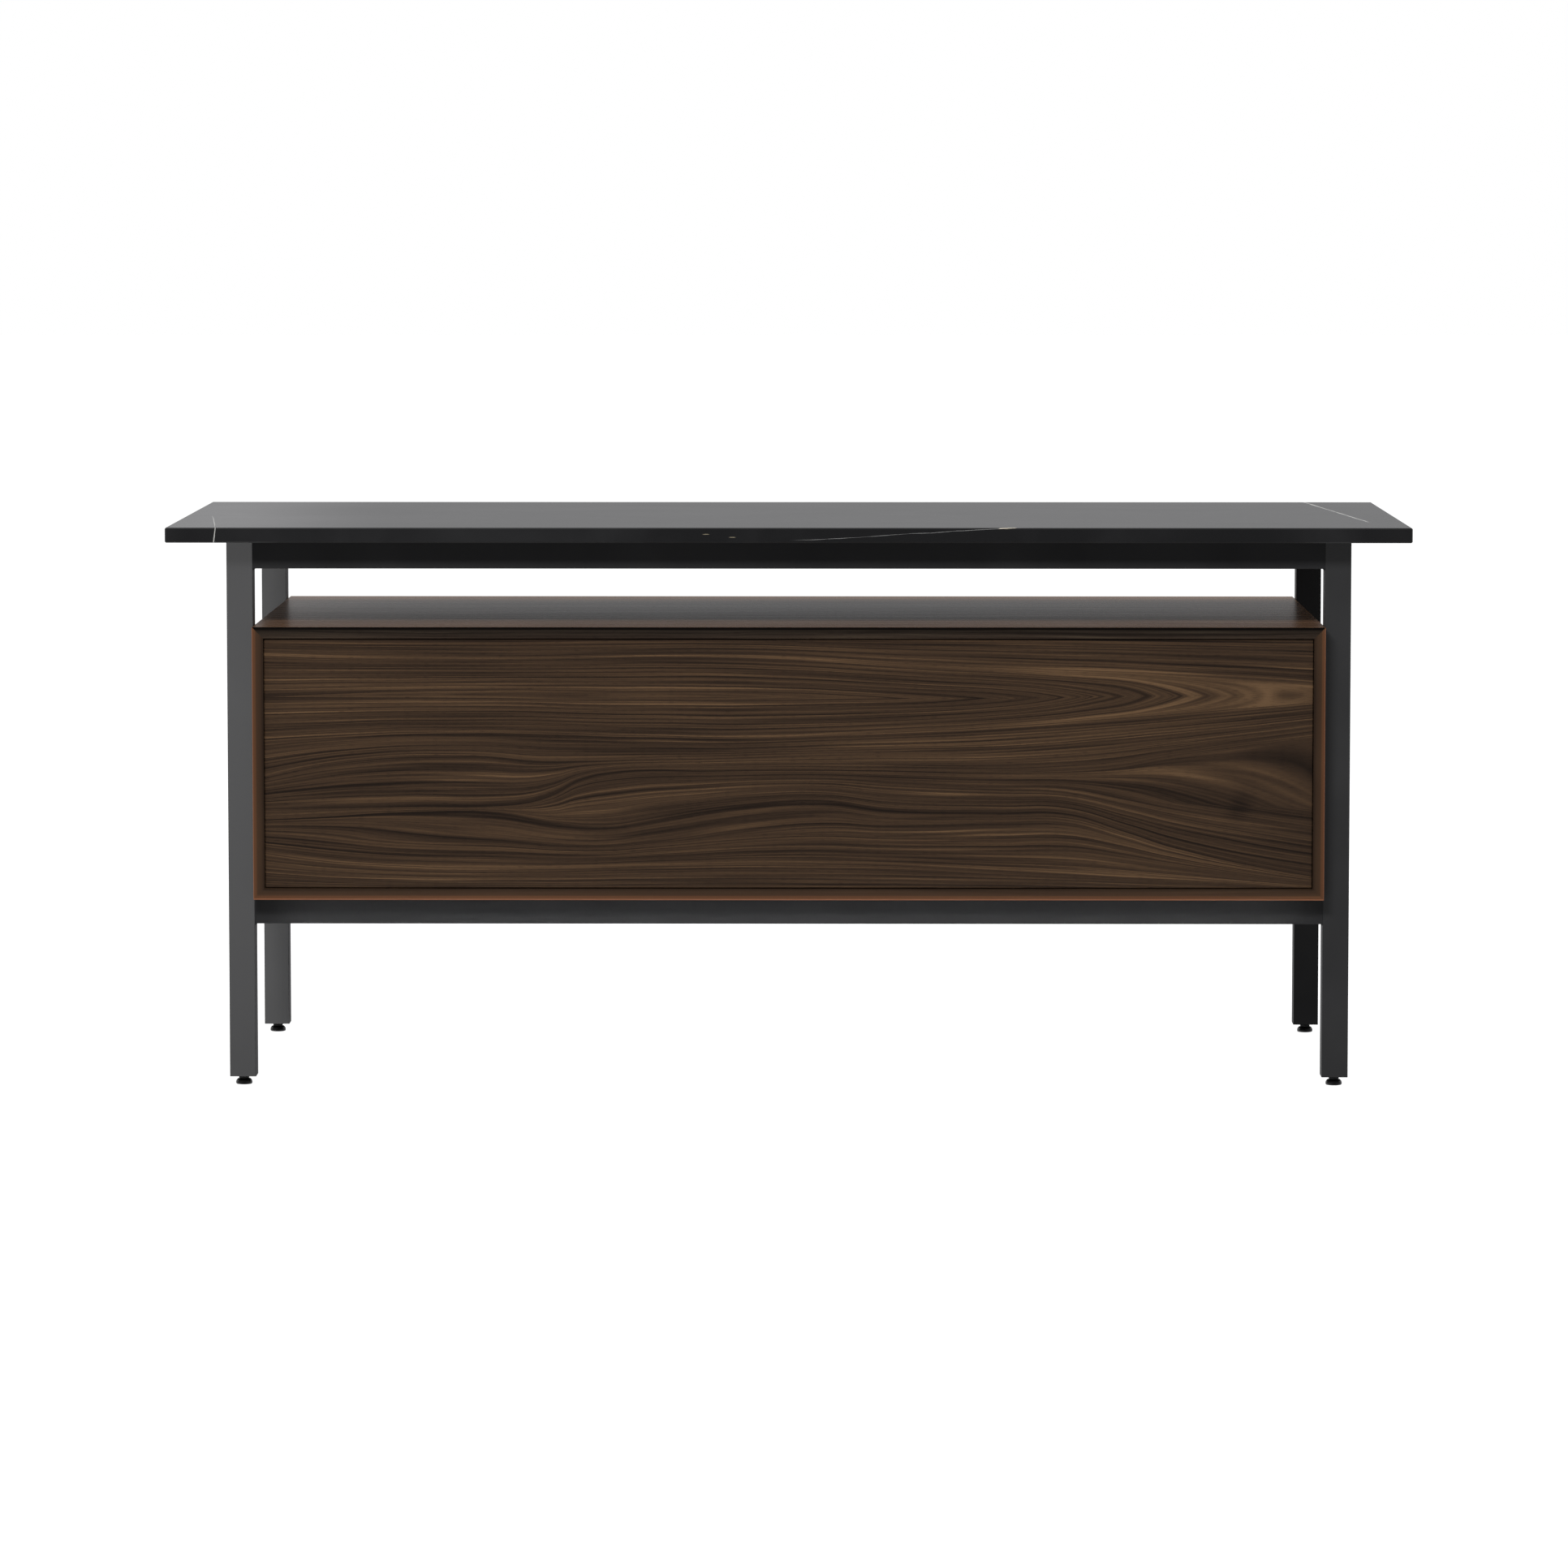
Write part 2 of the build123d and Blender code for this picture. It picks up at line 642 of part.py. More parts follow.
def drawer_nodes(drawer):
    """Every piece of one drawer by name, with the middle members of its runners."""
    sections = runner_sections()
    name = f"drawer_{drawer.name}"
    return {
        f"{name}_front": drawer_front(drawer),
        f"{name}_sides": [drawer_side(drawer, side) for side in SIDES.values()],
        f"{name}_back": drawer_back(drawer),
        f"{name}_bottom": drawer_bottom(drawer),
        f"{name}_pull": drawer_pull(drawer),
        f"{name}_runners": runner_pair(drawer, sections["drawer"]),
        f"middle_runners_{drawer.name}": runner_pair(drawer, sections["middle"]),
    }


def cabinet_runners():
    """The fixed members of every drawer's runners."""
    section = runner_sections()["cabinet"]
    return [member for drawer in drawers() for member in runner_pair(drawer, section)]


def desk():
    """Every piece of the desk by name. A list is a group of alike pieces."""
    nodes = {
        "marble_top": marble_top(),
        "top_pads": top_pads(),
        "frame_bolts": frame_bolts(),
        "leg_plugs": [leg_plug(SIDES[side], ENDS[end]) for side, end in CORNERS],
        "case_top": case_top(),
        "case_bottom": case_bottom(),
        "closing_panel": closing_panel(),
        "case_screws": case_screws(),
        "case_dowels": dowel_rods(DOWEL_RADIUS),
        "cabinet_runners": cabinet_runners(),
    }
    nodes |= frame_tubes()
    for side, end in CORNERS:
        nodes[f"levelling_foot_{end}_{side}"] = levelling_foot(SIDES[side], ENDS[end])
    for side_name, side in SIDES.items():
        nodes[f"case_side_{side_name}"] = case_side(side)
        nodes[f"partition_{side_name}"] = partition(side)
    for drawer in drawers():
        nodes |= drawer_nodes(drawer)
    return nodes


def main():
    """Writes one STEP file for each piece or group."""
    os.makedirs("parts", exist_ok=True)
    for name, shape in desk().items():
        pieces = shape if isinstance(shape, list) else [shape]
        solids = [solid for piece in pieces for solid in piece.solids()]
        export_step(Compound(solids), f"parts/{name}.step")


if __name__ == "__main__":
    main()
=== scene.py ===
"""A writing desk: black marble on a black steel frame, with a walnut case and four drawers."""

import logging
import math
from dataclasses import dataclass, field
from enum import Enum
from typing import Any, Callable, Optional, Sequence

import bmesh
import bpy
from mathutils import Matrix, Vector


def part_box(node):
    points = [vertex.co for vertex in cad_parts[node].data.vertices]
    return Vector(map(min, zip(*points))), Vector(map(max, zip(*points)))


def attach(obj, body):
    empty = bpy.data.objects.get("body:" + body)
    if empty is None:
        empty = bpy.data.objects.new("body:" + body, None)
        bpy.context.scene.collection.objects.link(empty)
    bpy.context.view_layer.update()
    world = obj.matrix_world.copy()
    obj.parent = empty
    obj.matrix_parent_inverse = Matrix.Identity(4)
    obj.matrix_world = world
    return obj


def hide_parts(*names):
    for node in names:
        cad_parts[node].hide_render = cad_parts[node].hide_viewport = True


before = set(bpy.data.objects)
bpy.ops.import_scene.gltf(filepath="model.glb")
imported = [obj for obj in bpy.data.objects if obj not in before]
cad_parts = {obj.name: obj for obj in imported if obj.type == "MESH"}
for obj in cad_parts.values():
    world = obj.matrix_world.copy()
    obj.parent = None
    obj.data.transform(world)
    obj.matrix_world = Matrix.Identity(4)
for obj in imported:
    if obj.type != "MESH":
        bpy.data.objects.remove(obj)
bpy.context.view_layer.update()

logging.basicConfig(level=logging.INFO, format="%(message)s")
log = logging.getLogger("desk")

Socket = bpy.types.NodeSocket
Tree = bpy.types.NodeTree
Piece = bpy.types.Object
Point = tuple[float, float, float]

MM = 0.001


# Materials: shared helpers


def linear(colour: str) -> tuple[float, float, float, float]:
    """Turns an sRGB hex colour to linear light.

    Args:
        colour: A colour such as "#3b2d23".

    Returns:
        Red, green, blue and an alpha of 1.
    """
    parts = [int(colour[i : i + 2], 16) / 255 for i in (1, 3, 5)]
    light = [c / 12.92 if c <= 0.04045 else ((c + 0.055) / 1.055) ** 2.4 for c in parts]
    return (*light, 1.0)


def add_node(
    tree: Tree,
    kind: str,
    inputs: Optional[dict[Any, Any]] = None,
    output: Any = 0,
    stops: Sequence[tuple[float, str]] = (),
    curve: Sequence[tuple[float, float]] = (),
    **settings: Any,
) -> Socket:
    """Adds a node with its settings and links.

    Args:
        tree: The node tree that takes the node.
        kind: The node's type.
        inputs: A value or an output socket for each input, by index or name.
        output: The output to return, by index or name.
        stops: Places and hex colours of a colour ramp.
        curve: Points of a float curve.
        settings: The node's own properties.

    Returns:
        The chosen output socket.
    """
    node = tree.nodes.new("ShaderNode" + kind)
    for name, value in settings.items():
        setattr(node, name, value)
    if stops:
        elements = node.color_ramp.elements
        while len(elements) < len(stops):
            elements.new(1.0)
        for element, (place, colour) in zip(elements, stops):
            element.position = place
            element.color = linear(colour)
    if curve:
        points = node.mapping.curves[0].points
        while len(points) < len(curve):
            points.new(0.5, 0.5)
        for point, place in zip(points, curve):
            point.location = place
        node.mapping.update()
    for key, value in (inputs or {}).items():
        if isinstance(value, bpy.types.NodeSocket):
            tree.links.new(value, node.inputs[key])
        else:
            node.inputs[key].default_value = value
    return node.outputs[output]


def drawn_out(tree: Tree, long_axis: str, across: float, along: float) -> Socket:
    """Scales the object coordinates for a pattern that is drawn out along one axis.

    Args:
        tree: The material's node tree.
        long_axis: "X", "Y" or "Z".
        across: Features per metre across that axis.
        along: Features per metre along it.

    Returns:
        The scaled coordinates.
    """
    place = add_node(tree, "TexCoord", output="Object")
    scale = tuple(along if axis == long_axis else across for axis in "XYZ")
    return add_node(tree, "VectorMath", {0: place, 1: scale}, operation="MULTIPLY")


@dataclass(frozen=True)
class Finish:
    """A material and how its surface was made."""

    name: str

    def surface(self, tree: Tree) -> Socket:
        """Builds the finish's nodes.

        Args:
            tree: The material's empty node tree.

        Returns:
            The shader's output socket.
        """
        raise NotImplementedError

    def material(self) -> bpy.types.Material:
        """Makes the finish's material the first time, and finds it again after that.

        Returns:
            The material.
        """
        found = bpy.data.materials.get(self.name)
        if found:
            return found
        made = bpy.data.materials.new(self.name)
        made.use_nodes = True
        tree = made.node_tree
        tree.nodes.clear()
        shader = self.surface(tree)
        end = tree.nodes.new("ShaderNodeOutputMaterial")
        tree.links.new(shader, end.inputs["Surface"])
        return made


# Finishes


@dataclass(frozen=True)
class PowderCoat(Finish):
    """Black polyester powder coat, sprayed dry and baked.

    The eye sees a deep grey-black satin, with the faint orange peel that baking leaves.
    """

    colour: str = "#29292a"
    worn: str = "#343435"
    roughness: float = 0.42
    peel_mm: float = 1.6

    def surface(self, tree: Tree) -> Socket:
        """Builds a satin coat whose gloss varies a little along the tube.

        Args:
            tree: The material's empty node tree.

        Returns:
            The shader's output socket.
        """
        place = add_node(tree, "TexCoord", output="Object")
        cloud = add_node(tree, "TexNoise", {"Vector": place, "Scale": 7.0, "Detail": 3.0})
        tone = add_node(
            tree, "ValToRGB", {"Fac": cloud}, stops=[(0.35, self.colour), (0.75, self.worn)]
        )
        gloss = add_node(
            tree,
            "MapRange",
            {"Value": cloud, "To Min": self.roughness - 0.05, "To Max": self.roughness + 0.06},
        )
        peel = add_node(
            tree, "TexNoise", {"Vector": place, "Scale": 1 / (self.peel_mm * MM), "Detail": 1.0}
        )
        bump = add_node(tree, "Bump", {"Height": peel, "Strength": 0.12, "Distance": 0.05 * MM})
        return add_node(
            tree,
            "BsdfPrincipled",
            {"Base Color": tone, "Roughness": gloss, "Normal": bump, "Specular IOR Level": 0.25},
        )


@dataclass(frozen=True)
class Vein:
    """A thin sheet of calcite through the stone, which shows as a line where a face cuts it.

    point is on the sheet, facing is square to it, and the line fades beyond reach from centre.
    """

    point: Point
    facing: Point
    centre: Point
    reach: float
    width: float = 0.7
    wander: float = 3.0
    colour: str = "#b9b8b4"
    strength: float = 1.0


@dataclass(frozen=True)
class PolishedMarble(Finish):
    """Black marble, sawn and polished to a mirror.

    The eye sees near-black depth under clear reflections, a few calcite veins that end sharply, and
    gold-coloured flecks at the edge.
    """

    ground: str = "#1d1d1e"
    cloud: str = "#29292a"
    veins: tuple[Vein, ...] = ()
    flecks: tuple[Point, ...] = ()
    fleck_colour: str = "#8f8672"
    hair_colour: str = "#77777a"
    hair_strength: float = 0.17

    def surface(self, tree: Tree) -> Socket:
        """Builds the ground, the placed veins, a faint net of hair veins and the flecks.

        Args:
            tree: The material's empty node tree.

        Returns:
            The shader's output socket.
        """
        place = add_node(tree, "TexCoord", output="Object")
        cloud = add_node(
            tree, "TexNoise", {"Vector": place, "Scale": 5.0, "Detail": 5.0, "Distortion": 0.6}
        )
        colour = add_node(
            tree, "ValToRGB", {"Fac": cloud}, stops=[(0.42, self.ground), (0.72, self.cloud)]
        )
        wander = add_node(tree, "TexNoise", {"Vector": place, "Scale": 9.0, "Detail": 3.0}, "Color")
        wander = add_node(tree, "VectorMath", {0: wander, 1: (0.5,) * 3}, operation="SUBTRACT")
        thick = add_node(tree, "TexNoise", {"Vector": place, "Scale": 26.0, "Detail": 2.0})
        colour = self.hair_veins(tree, place, colour)
        for vein in self.veins:
            colour = self.vein(tree, vein, place, wander, thick, colour)
        for fleck in self.flecks:
            colour = self.fleck(tree, fleck, place, colour)
        haze = add_node(tree, "MapRange", {"Value": cloud, "To Min": 0.1, "To Max": 0.17})
        return add_node(
            tree,
            "BsdfPrincipled",
            {"Base Color": colour, "Roughness": haze, "Specular IOR Level": 0.5, "IOR": 1.5},
        )

    def fleck(self, tree: Tree, fleck: Point, place: Socket, colour: Socket) -> Socket:
        """Mixes in one fleck, about 10 mm long and 1 mm high.

        Args:
            tree: The material's node tree.
            fleck: The fleck's middle.
            place: The object coordinates.
            colour: The colour so far.

        Returns:
            The colour with the fleck.
        """
        away = add_node(tree, "VectorMath", {0: place, 1: fleck}, operation="SUBTRACT")
        away = add_node(tree, "VectorMath", {0: away, 1: (0.16, 1.0, 1.5)}, operation="MULTIPLY")
        away = add_node(tree, "VectorMath", {0: away}, "Value", operation="LENGTH")
        mark = add_node(
            tree,
            "MapRange",
            {"Value": away, "From Min": 0.9 * MM, "From Max": 0.4 * MM},
            interpolation_type="SMOOTHSTEP",
        )
        return add_node(
            tree, "Mix", {0: mark, 6: colour, 7: linear(self.fleck_colour)}, 2, data_type="RGBA"
        )

    def hair_veins(self, tree: Tree, place: Socket, colour: Socket) -> Socket:
        """Mixes in the faint healed cracks that black marble has all over.

        Args:
            tree: The material's node tree.
            place: The object coordinates.
            colour: The colour so far.

        Returns:
            The colour with the cracks.
        """
        drawn = add_node(
            tree,
            "Mapping",
            {"Vector": place, "Rotation": (0.0, 0.3, math.radians(31)), "Scale": (0.45, 1.7, 1.3)},
        )
        crack = add_node(
            tree, "TexNoise", {"Vector": drawn, "Scale": 2.3, "Detail": 4.0, "Roughness": 0.55}
        )
        crack = add_node(tree, "Math", {0: crack, 1: 0.5}, operation="SUBTRACT")
        crack = add_node(tree, "Math", {0: crack}, operation="ABSOLUTE")
        patchy = add_node(tree, "TexNoise", {"Vector": place, "Scale": 3.5, "Detail": 2.0})
        line = add_node(tree, "MapRange", {"Value": crack, "From Min": 0.003, "From Max": 0.0})
        shown = add_node(tree, "MapRange", {"Value": patchy, "From Min": 0.55, "From Max": 0.75})
        amount = add_node(tree, "Math", {0: line, 1: shown}, operation="MULTIPLY")
        amount = add_node(
            tree, "Math", {0: amount, 1: self.hair_strength}, operation="MULTIPLY"
        )
        return add_node(
            tree, "Mix", {0: amount, 6: colour, 7: linear(self.hair_colour)}, 2, data_type="RGBA"
        )

    def vein(
        self,
        tree: Tree,
        vein: Vein,
        place: Socket,
        wander: Socket,
        thick: Socket,
        colour: Socket,
    ) -> Socket:
        """Mixes one placed vein into the colour.

        Args:
            tree: The material's node tree.
            vein: Where the vein runs.
            place: The object coordinates.
            wander: A noise vector that bends the sheet.
            thick: A noise that varies the line's width.
            colour: The colour so far.

        Returns:
            The colour with the vein.
        """
        facing = Vector(vein.facing).normalized()
        bend = add_node(
            tree, "VectorMath", {0: wander, 1: (vein.wander * MM,) * 3}, operation="MULTIPLY"
        )
        bent = add_node(tree, "VectorMath", {0: place, 1: bend}, operation="ADD")
        away = add_node(tree, "VectorMath", {0: bent, 1: vein.point}, operation="SUBTRACT")
        away = add_node(
            tree, "VectorMath", {0: away, 1: tuple(facing)}, "Value", operation="DOT_PRODUCT"
        )
        away = add_node(tree, "Math", {0: away}, operation="ABSOLUTE")
        width = add_node(
            tree,
            "MapRange",
            {"Value": thick, "From Min": 0.3, "From Max": 0.7, "To Min": 0.25 * vein.width * MM,
             "To Max": 1.2 * vein.width * MM},
        )
        line = add_node(tree, "Math", {0: away, 1: width}, operation="DIVIDE")
        line = add_node(
            tree,
            "MapRange",
            {"Value": line, "From Min": 1.0, "From Max": 0.3},
            interpolation_type="SMOOTHSTEP",
        )
        far = add_node(
            tree, "VectorMath", {0: place, 1: vein.centre}, "Value", operation="DISTANCE"
        )
        near = add_node(
            tree,
            "MapRange",
            {"Value": far, "From Min": vein.reach, "From Max": vein.reach * 0.75,
             "To Max": vein.strength},
            interpolation_type="SMOOTHSTEP",
        )
        amount = add_node(tree, "Math", {0: line, 1: near}, operation="MULTIPLY")
        return add_node(
            tree, "Mix", {0: amount, 6: colour, 7: linear(vein.colour)}, 2, data_type="RGBA"
        )


class Grain(Enum):
    """How a board's veneer lies: the axes along the grain, across it and into the board."""

    FRONT = ("X", "Z", "Y")
    FLAT = ("X", "Y", "Z")
    UPRIGHT = ("Z", "Y", "X")
    PARTITION = ("Y", "Z", "X")


@dataclass(frozen=True)
class Figure:
    """A place where the rings bulge across the grain, so that they curl round it into points."""

    along: float
    across: float
    half_length: float
    half_width: float
    lift: float
    turn: float = 0.0


@dataclass(frozen=True)
class Course:
    """One ring line that runs the length of a leaf, and what lies between it and the next one up.

    path gives its places along and across the grain. rings are counted up to the next course. fold
    says how many more there are in the middle, which come back again: where the fold grows or
    shrinks along the grain, its rings close into nested points.
    """

    path: tuple[tuple[float, float], ...]
    rings: float = 0.0
    fold: tuple[tuple[float, float], ...] = ()


@dataclass(frozen=True)
class CaseEdge:
    """The front and back edges of the case's boards, and what is painted on them over the face
    veneer, painted highlight and shade among it.
    """

    half_depth: float

    def mask(self, tree: Tree, axes: dict[str, Socket]) -> Socket:
        """Finds the faces at the case's front and back.

        Args:
            tree: The material's node tree.
            axes: The object coordinates by axis.

        Returns:
            1 on those faces and 0 on the others.
        """
        depth = add_node(tree, "Math", {0: axes["Y"]}, operation="ABSOLUTE")
        return add_node(
            tree,
            "MapRange",
            {"Value": depth, "From Min": self.half_depth - 0.9 * MM,
             "From Max": self.half_depth - 0.3 * MM},
        )

    def over(self, tree: Tree, axes: dict[str, Socket], colour: Socket) -> Socket:
        """Mixes the edge over the face veneer.

        Args:
            tree: The material's node tree.
            axes: The object coordinates by axis.
            colour: The face veneer's colour.

        Returns:
            The colour of both together.
        """
        raise NotImplementedError


@dataclass(frozen=True)
class EdgeBandAndPaintedLight(CaseEdge):
    """Thin veneer on the edges, redder than the faces, with a painted highlight along its outer
    arris and painted shade towards the panel.
    """

    half_width: float
    bottom: float
    board: float
    cover: float = 0.8
    # From the outer arris inwards: a painted highlight along the arris, the band's own copper and
    # brown, then painted shade towards the panel.
    tones: tuple[tuple[float, str], ...] = (
        (0.0, "#b27858"),
        (0.09, "#8f5d43"),
        (0.15, "#66432e"),
        (0.34, "#5f402c"),
        (0.44, "#463326"),
        (0.8, "#3c2d22"),
        (1.0, "#2a1f18"),
    )

    def over(self, tree: Tree, axes: dict[str, Socket], colour: Socket) -> Socket:
        """Mixes the edge band, with its painted highlight and shade, over the face veneer.

        Args:
            tree: The material's node tree.
            axes: The object coordinates by axis.
            colour: The face veneer's colour.

        Returns:
            The colour of both together.
        """
        wide = add_node(tree, "Math", {0: axes["X"]}, operation="ABSOLUTE")
        from_side = add_node(
            tree, "Math", {0: self.half_width + 1.0 * MM, 1: wide}, operation="SUBTRACT"
        )
        from_bottom = add_node(tree, "Math", {0: axes["Z"], 1: self.bottom}, operation="SUBTRACT")
        nearest = add_node(tree, "Math", {0: from_side, 1: from_bottom}, operation="MINIMUM")
        share = add_node(tree, "Math", {0: nearest, 1: self.board}, operation="DIVIDE")
        # The ramp paints a highlight at the outer arris and shade towards the panel.
        band = add_node(tree, "ValToRGB", {"Fac": share}, stops=self.tones)
        mixed = add_node(tree, "Mix", {0: self.cover, 6: colour, 7: band}, 2, data_type="RGBA")
        on_edge = self.mask(tree, axes)
        return add_node(tree, "Mix", {0: on_edge, 6: colour, 7: mixed}, 2, data_type="RGBA")


@dataclass(frozen=True)
class EdgeLine(CaseEdge):
    """The top board's edges: the same veneer as the panel's, under a black line of painted shade
    along the top arris.

    The board's face is painted lighter than its edges, as painted light, so the tones darken the
    edges back. They are a third of what is meant, because a colour ramp holds nothing brighter than
    white, and lift makes up for it.
    """

    top: float
    board: float = 15 * MM
    lift: float = 3.0
    # From the top arris down: a black line of painted shade, then the darkening that takes the edge
    # back from the face's painted lightness.
    tones: tuple[tuple[float, str], ...] = (
        (0.0, "#080605"),
        (0.20, "#0d0a08"),
        (0.30, "#38424a"),
        (1.0, "#4c5660"),
    )

    def over(self, tree: Tree, axes: dict[str, Socket], colour: Socket) -> Socket:
        """Mixes the edge's darker wood and its black line of painted shade over the face veneer.

        Args:
            tree: The material's node tree.
            axes: The object coordinates by axis.
            colour: The face veneer's colour.

        Returns:
            The colour of both together.
        """
        down = add_node(tree, "Math", {0: self.top, 1: axes["Z"]}, operation="SUBTRACT")
        share = add_node(tree, "Math", {0: down, 1: self.board}, operation="DIVIDE")
        dark = add_node(tree, "ValToRGB", {"Fac": share}, stops=self.tones)
        shaded = add_node(
            tree, "Mix", {0: 1.0, 6: colour, 7: dark}, 2, data_type="RGBA", blend_type="MULTIPLY"
        )
        shaded = add_node(
            tree, "VectorMath", {0: shaded, 1: (self.lift,) * 3}, operation="MULTIPLY"
        )
        on_edge = self.mask(tree, axes)
        return add_node(tree, "Mix", {0: on_edge, 6: colour, 7: shaded}, 2, data_type="RGBA")


WALNUT_TONES = (
    (0.18, "#1d140e"),
    (0.38, "#32251b"),
    (0.52, "#403023"),
    (0.66, "#4e3b2a"),
    (0.86, "#6d543c"),
)
# The case top's tones: the walnut painted lighter, as painted light that the slab keeps off the
# top.
TOP_TONES_PAINTED_LIGHTER = ((0.2, "#4d3627"), (0.52, "#7a5a44"), (0.84, "#a5825f"))

# Slow bends of the rings: features per metre along and across the grain, and the noise's detail
BENDS = (((1.4, 3.0), 1.0), ((5.0, 16.0), 2.0))

# Streaks of tone: features per metre along the grain, features per ring across it, and strength
STREAKS = ((0.9, 0.22, 0.24), (2.0, 1.1, 0.36), (3.5, 4.2, 0.62), (8.0, 13.0, 0.52))

# Thin pale and dark lines: where the noise starts one, where it is full, and what it adds
THIN_LINES = ((0.59, 0.65, 0.13), (0.40, 0.34, -0.13))

MIDDLE_TONE = 0.52
LATEWOOD_DARKENS = 0.19
PORE_DARKENS = 0.10

# Pores per metre along and across the grain: 12 mm long and 0.5 mm wide. Real ones are about half
# as wide, and too fine to show.
PORES = (80.0, 1900.0)

# The most rings that a fold may add, and how sharply it turns in its middle
FOLD_LIMIT = 20.0
FOLD_TURN = 1.12


@dataclass(frozen=True)
class WalnutVeneer(Finish):
    """Flat-sliced walnut veneer under a thin matt lacquer.

    The eye sees dark ring lines, long streaks of brown, open pores and a weak, wide highlight.
    """

    grain: Grain = Grain.FLAT
    seed: float = 0.0
    low: float = -0.35
    high: float = 0.35
    left: float = -0.7
    right: float = 0.7
    rings: float = 60.0
    figures: tuple[Figure, ...] = ()
    courses: tuple[Course, ...] = ()
    accents: tuple[tuple[float, float, float], ...] = ()
    patches: tuple[Figure, ...] = ()
    wander: float = 26.0
    wobble: float = 5.0
    sheen: float = 0.15
    gloss: float = 0.5
    relief: float = 0.25
    tones: tuple[tuple[float, str], ...] = WALNUT_TONES
    edge: Optional[CaseEdge] = None

    def surface(self, tree: Tree) -> Socket:
        """Builds the ring pattern, its colour, the pores and the lacquer.

        Args:
            tree: The material's empty node tree.

        Returns:
            The shader's output socket.
        """
        place = add_node(tree, "TexCoord", output="Object")
        axes = {
            axis: add_node(tree, "SeparateXYZ", {0: place}, axis) for axis in ("X", "Y", "Z")
        }
        along, across, deep = (axes[axis] for axis in self.grain.value)
        tilted = add_node(tree, "Math", {0: deep, 1: 0.8, 2: across}, operation="MULTIPLY_ADD")
        ring = self.ring_number(tree, along, tilted if self.grain is Grain.FLAT else across)
        tone = self.tone(tree, along, ring)
        flat = add_node(tree, "CombineXYZ", {"X": along, "Y": across, "Z": self.seed})
        for patch in self.patches:
            tone = self.bulge(tree, patch, flat, tone)
        pores = self.pores(tree, along, tilted)
        tone = add_node(
            tree, "Math", {0: pores, 1: -PORE_DARKENS, 2: tone}, operation="MULTIPLY_ADD"
        )
        colour = add_node(tree, "ValToRGB", {"Fac": tone}, stops=self.tones)
        if self.edge:
            colour = self.edge.over(tree, axes, colour)
        rough = add_node(
            tree,
            "MapRange",
            {"Value": tone, "To Min": self.gloss + 0.06, "To Max": self.gloss - 0.06},
        )
        bump = add_node(
            tree,
            "Bump",
            {"Height": pores, "Strength": self.relief, "Distance": 0.08 * MM},
            invert=True,
        )
        return add_node(
            tree,
            "BsdfPrincipled",
            {"Base Color": colour, "Roughness": rough, "Normal": bump,
             "Specular IOR Level": self.sheen},
        )

    def ring_number(self, tree: Tree, along: Socket, across: Socket) -> Socket:
        """Counts the growth rings up to each point.

        Args:
            tree: The material's node tree.
            along: The place along the grain, in metres.
            across: The place across the grain, in metres.

        Returns:
            The ring count, whose whole numbers are ring lines.
        """
        place = add_node(tree, "CombineXYZ", {"X": along, "Y": across, "Z": self.seed})
        moved = across
        for (stretch, detail), amount in zip(BENDS, (self.wander, self.wobble)):
            scaled = add_node(
                tree, "VectorMath", {0: place, 1: (*stretch, 1.0)}, operation="MULTIPLY"
            )
            noise = add_node(
                tree, "TexNoise", {"Vector": scaled, "Scale": 1.0, "Detail": detail}
            )
            noise = add_node(tree, "Math", {0: noise, 1: 0.5}, operation="SUBTRACT")
            moved = add_node(
                tree, "Math", {0: noise, 1: amount * MM, 2: moved}, operation="MULTIPLY_ADD"
            )
        for figure in self.figures:
            moved = self.bulge(tree, figure, place, moved)
        if self.courses:
            return self.course_rings(tree, along, moved)
        share = add_node(
            tree, "MapRange", {"Value": moved, "From Min": self.low, "From Max": self.high},
            clamp=False,
        )
        return add_node(tree, "Math", {0: share, 1: self.rings}, operation="MULTIPLY")

    def along_curve(
        self, tree: Tree, share: Socket, points: Sequence[tuple[float, float]], high: float
    ) -> Socket:
        """Reads a smooth curve of real sizes along the leaf.

        Args:
            tree: The material's node tree.
            share: The place along the leaf, from 0 to 1.
            points: The place in metres and the value at each point of the curve.
            high: The largest value that the curve may have.

        Returns:
            The curve's value.
        """
        curve = [((x - self.left) / (self.right - self.left), y / high) for x, y in points]
        read = add_node(tree, "FloatCurve", {"Value": share}, curve=curve)
        return add_node(tree, "Math", {0: read, 1: high}, operation="MULTIPLY")

    def course_rings(self, tree: Tree, along: Socket, across: Socket) -> Socket:
        """Counts the rings between the leaf's courses.

        Args:
            tree: The material's node tree.
            along: The place along the grain.
            across: The place across the grain.

        Returns:
            The ring count.
        """
        share = add_node(
            tree, "MapRange", {"Value": along, "From Min": self.left, "From Max": self.right}
        )
        lines = [self.along_curve(tree, share, course.path, 1.0) for course in self.courses]
        ring: Any = 0.0
        for course, line, next_line in zip(self.courses, lines, lines[1:]):
            part = add_node(
                tree, "MapRange", {"Value": across, "From Min": line, "From Max": next_line}
            )
            ring = add_node(
                tree, "Math", {0: part, 1: course.rings, 2: ring}, operation="MULTIPLY_ADD"
            )
            if course.fold:
                extra = self.along_curve(tree, share, course.fold, FOLD_LIMIT)
                way = add_node(tree, "Math", {0: part, 1: 2.0, 2: -1.0}, operation="MULTIPLY_ADD")
                way = add_node(tree, "Math", {0: way}, operation="ABSOLUTE")
                way = add_node(tree, "Math", {0: way, 1: FOLD_TURN}, operation="POWER")
                way = add_node(tree, "Math", {0: 1.0, 1: way}, operation="SUBTRACT")
                ring = add_node(
                    tree, "Math", {0: way, 1: extra, 2: ring}, operation="MULTIPLY_ADD"
                )
        return ring

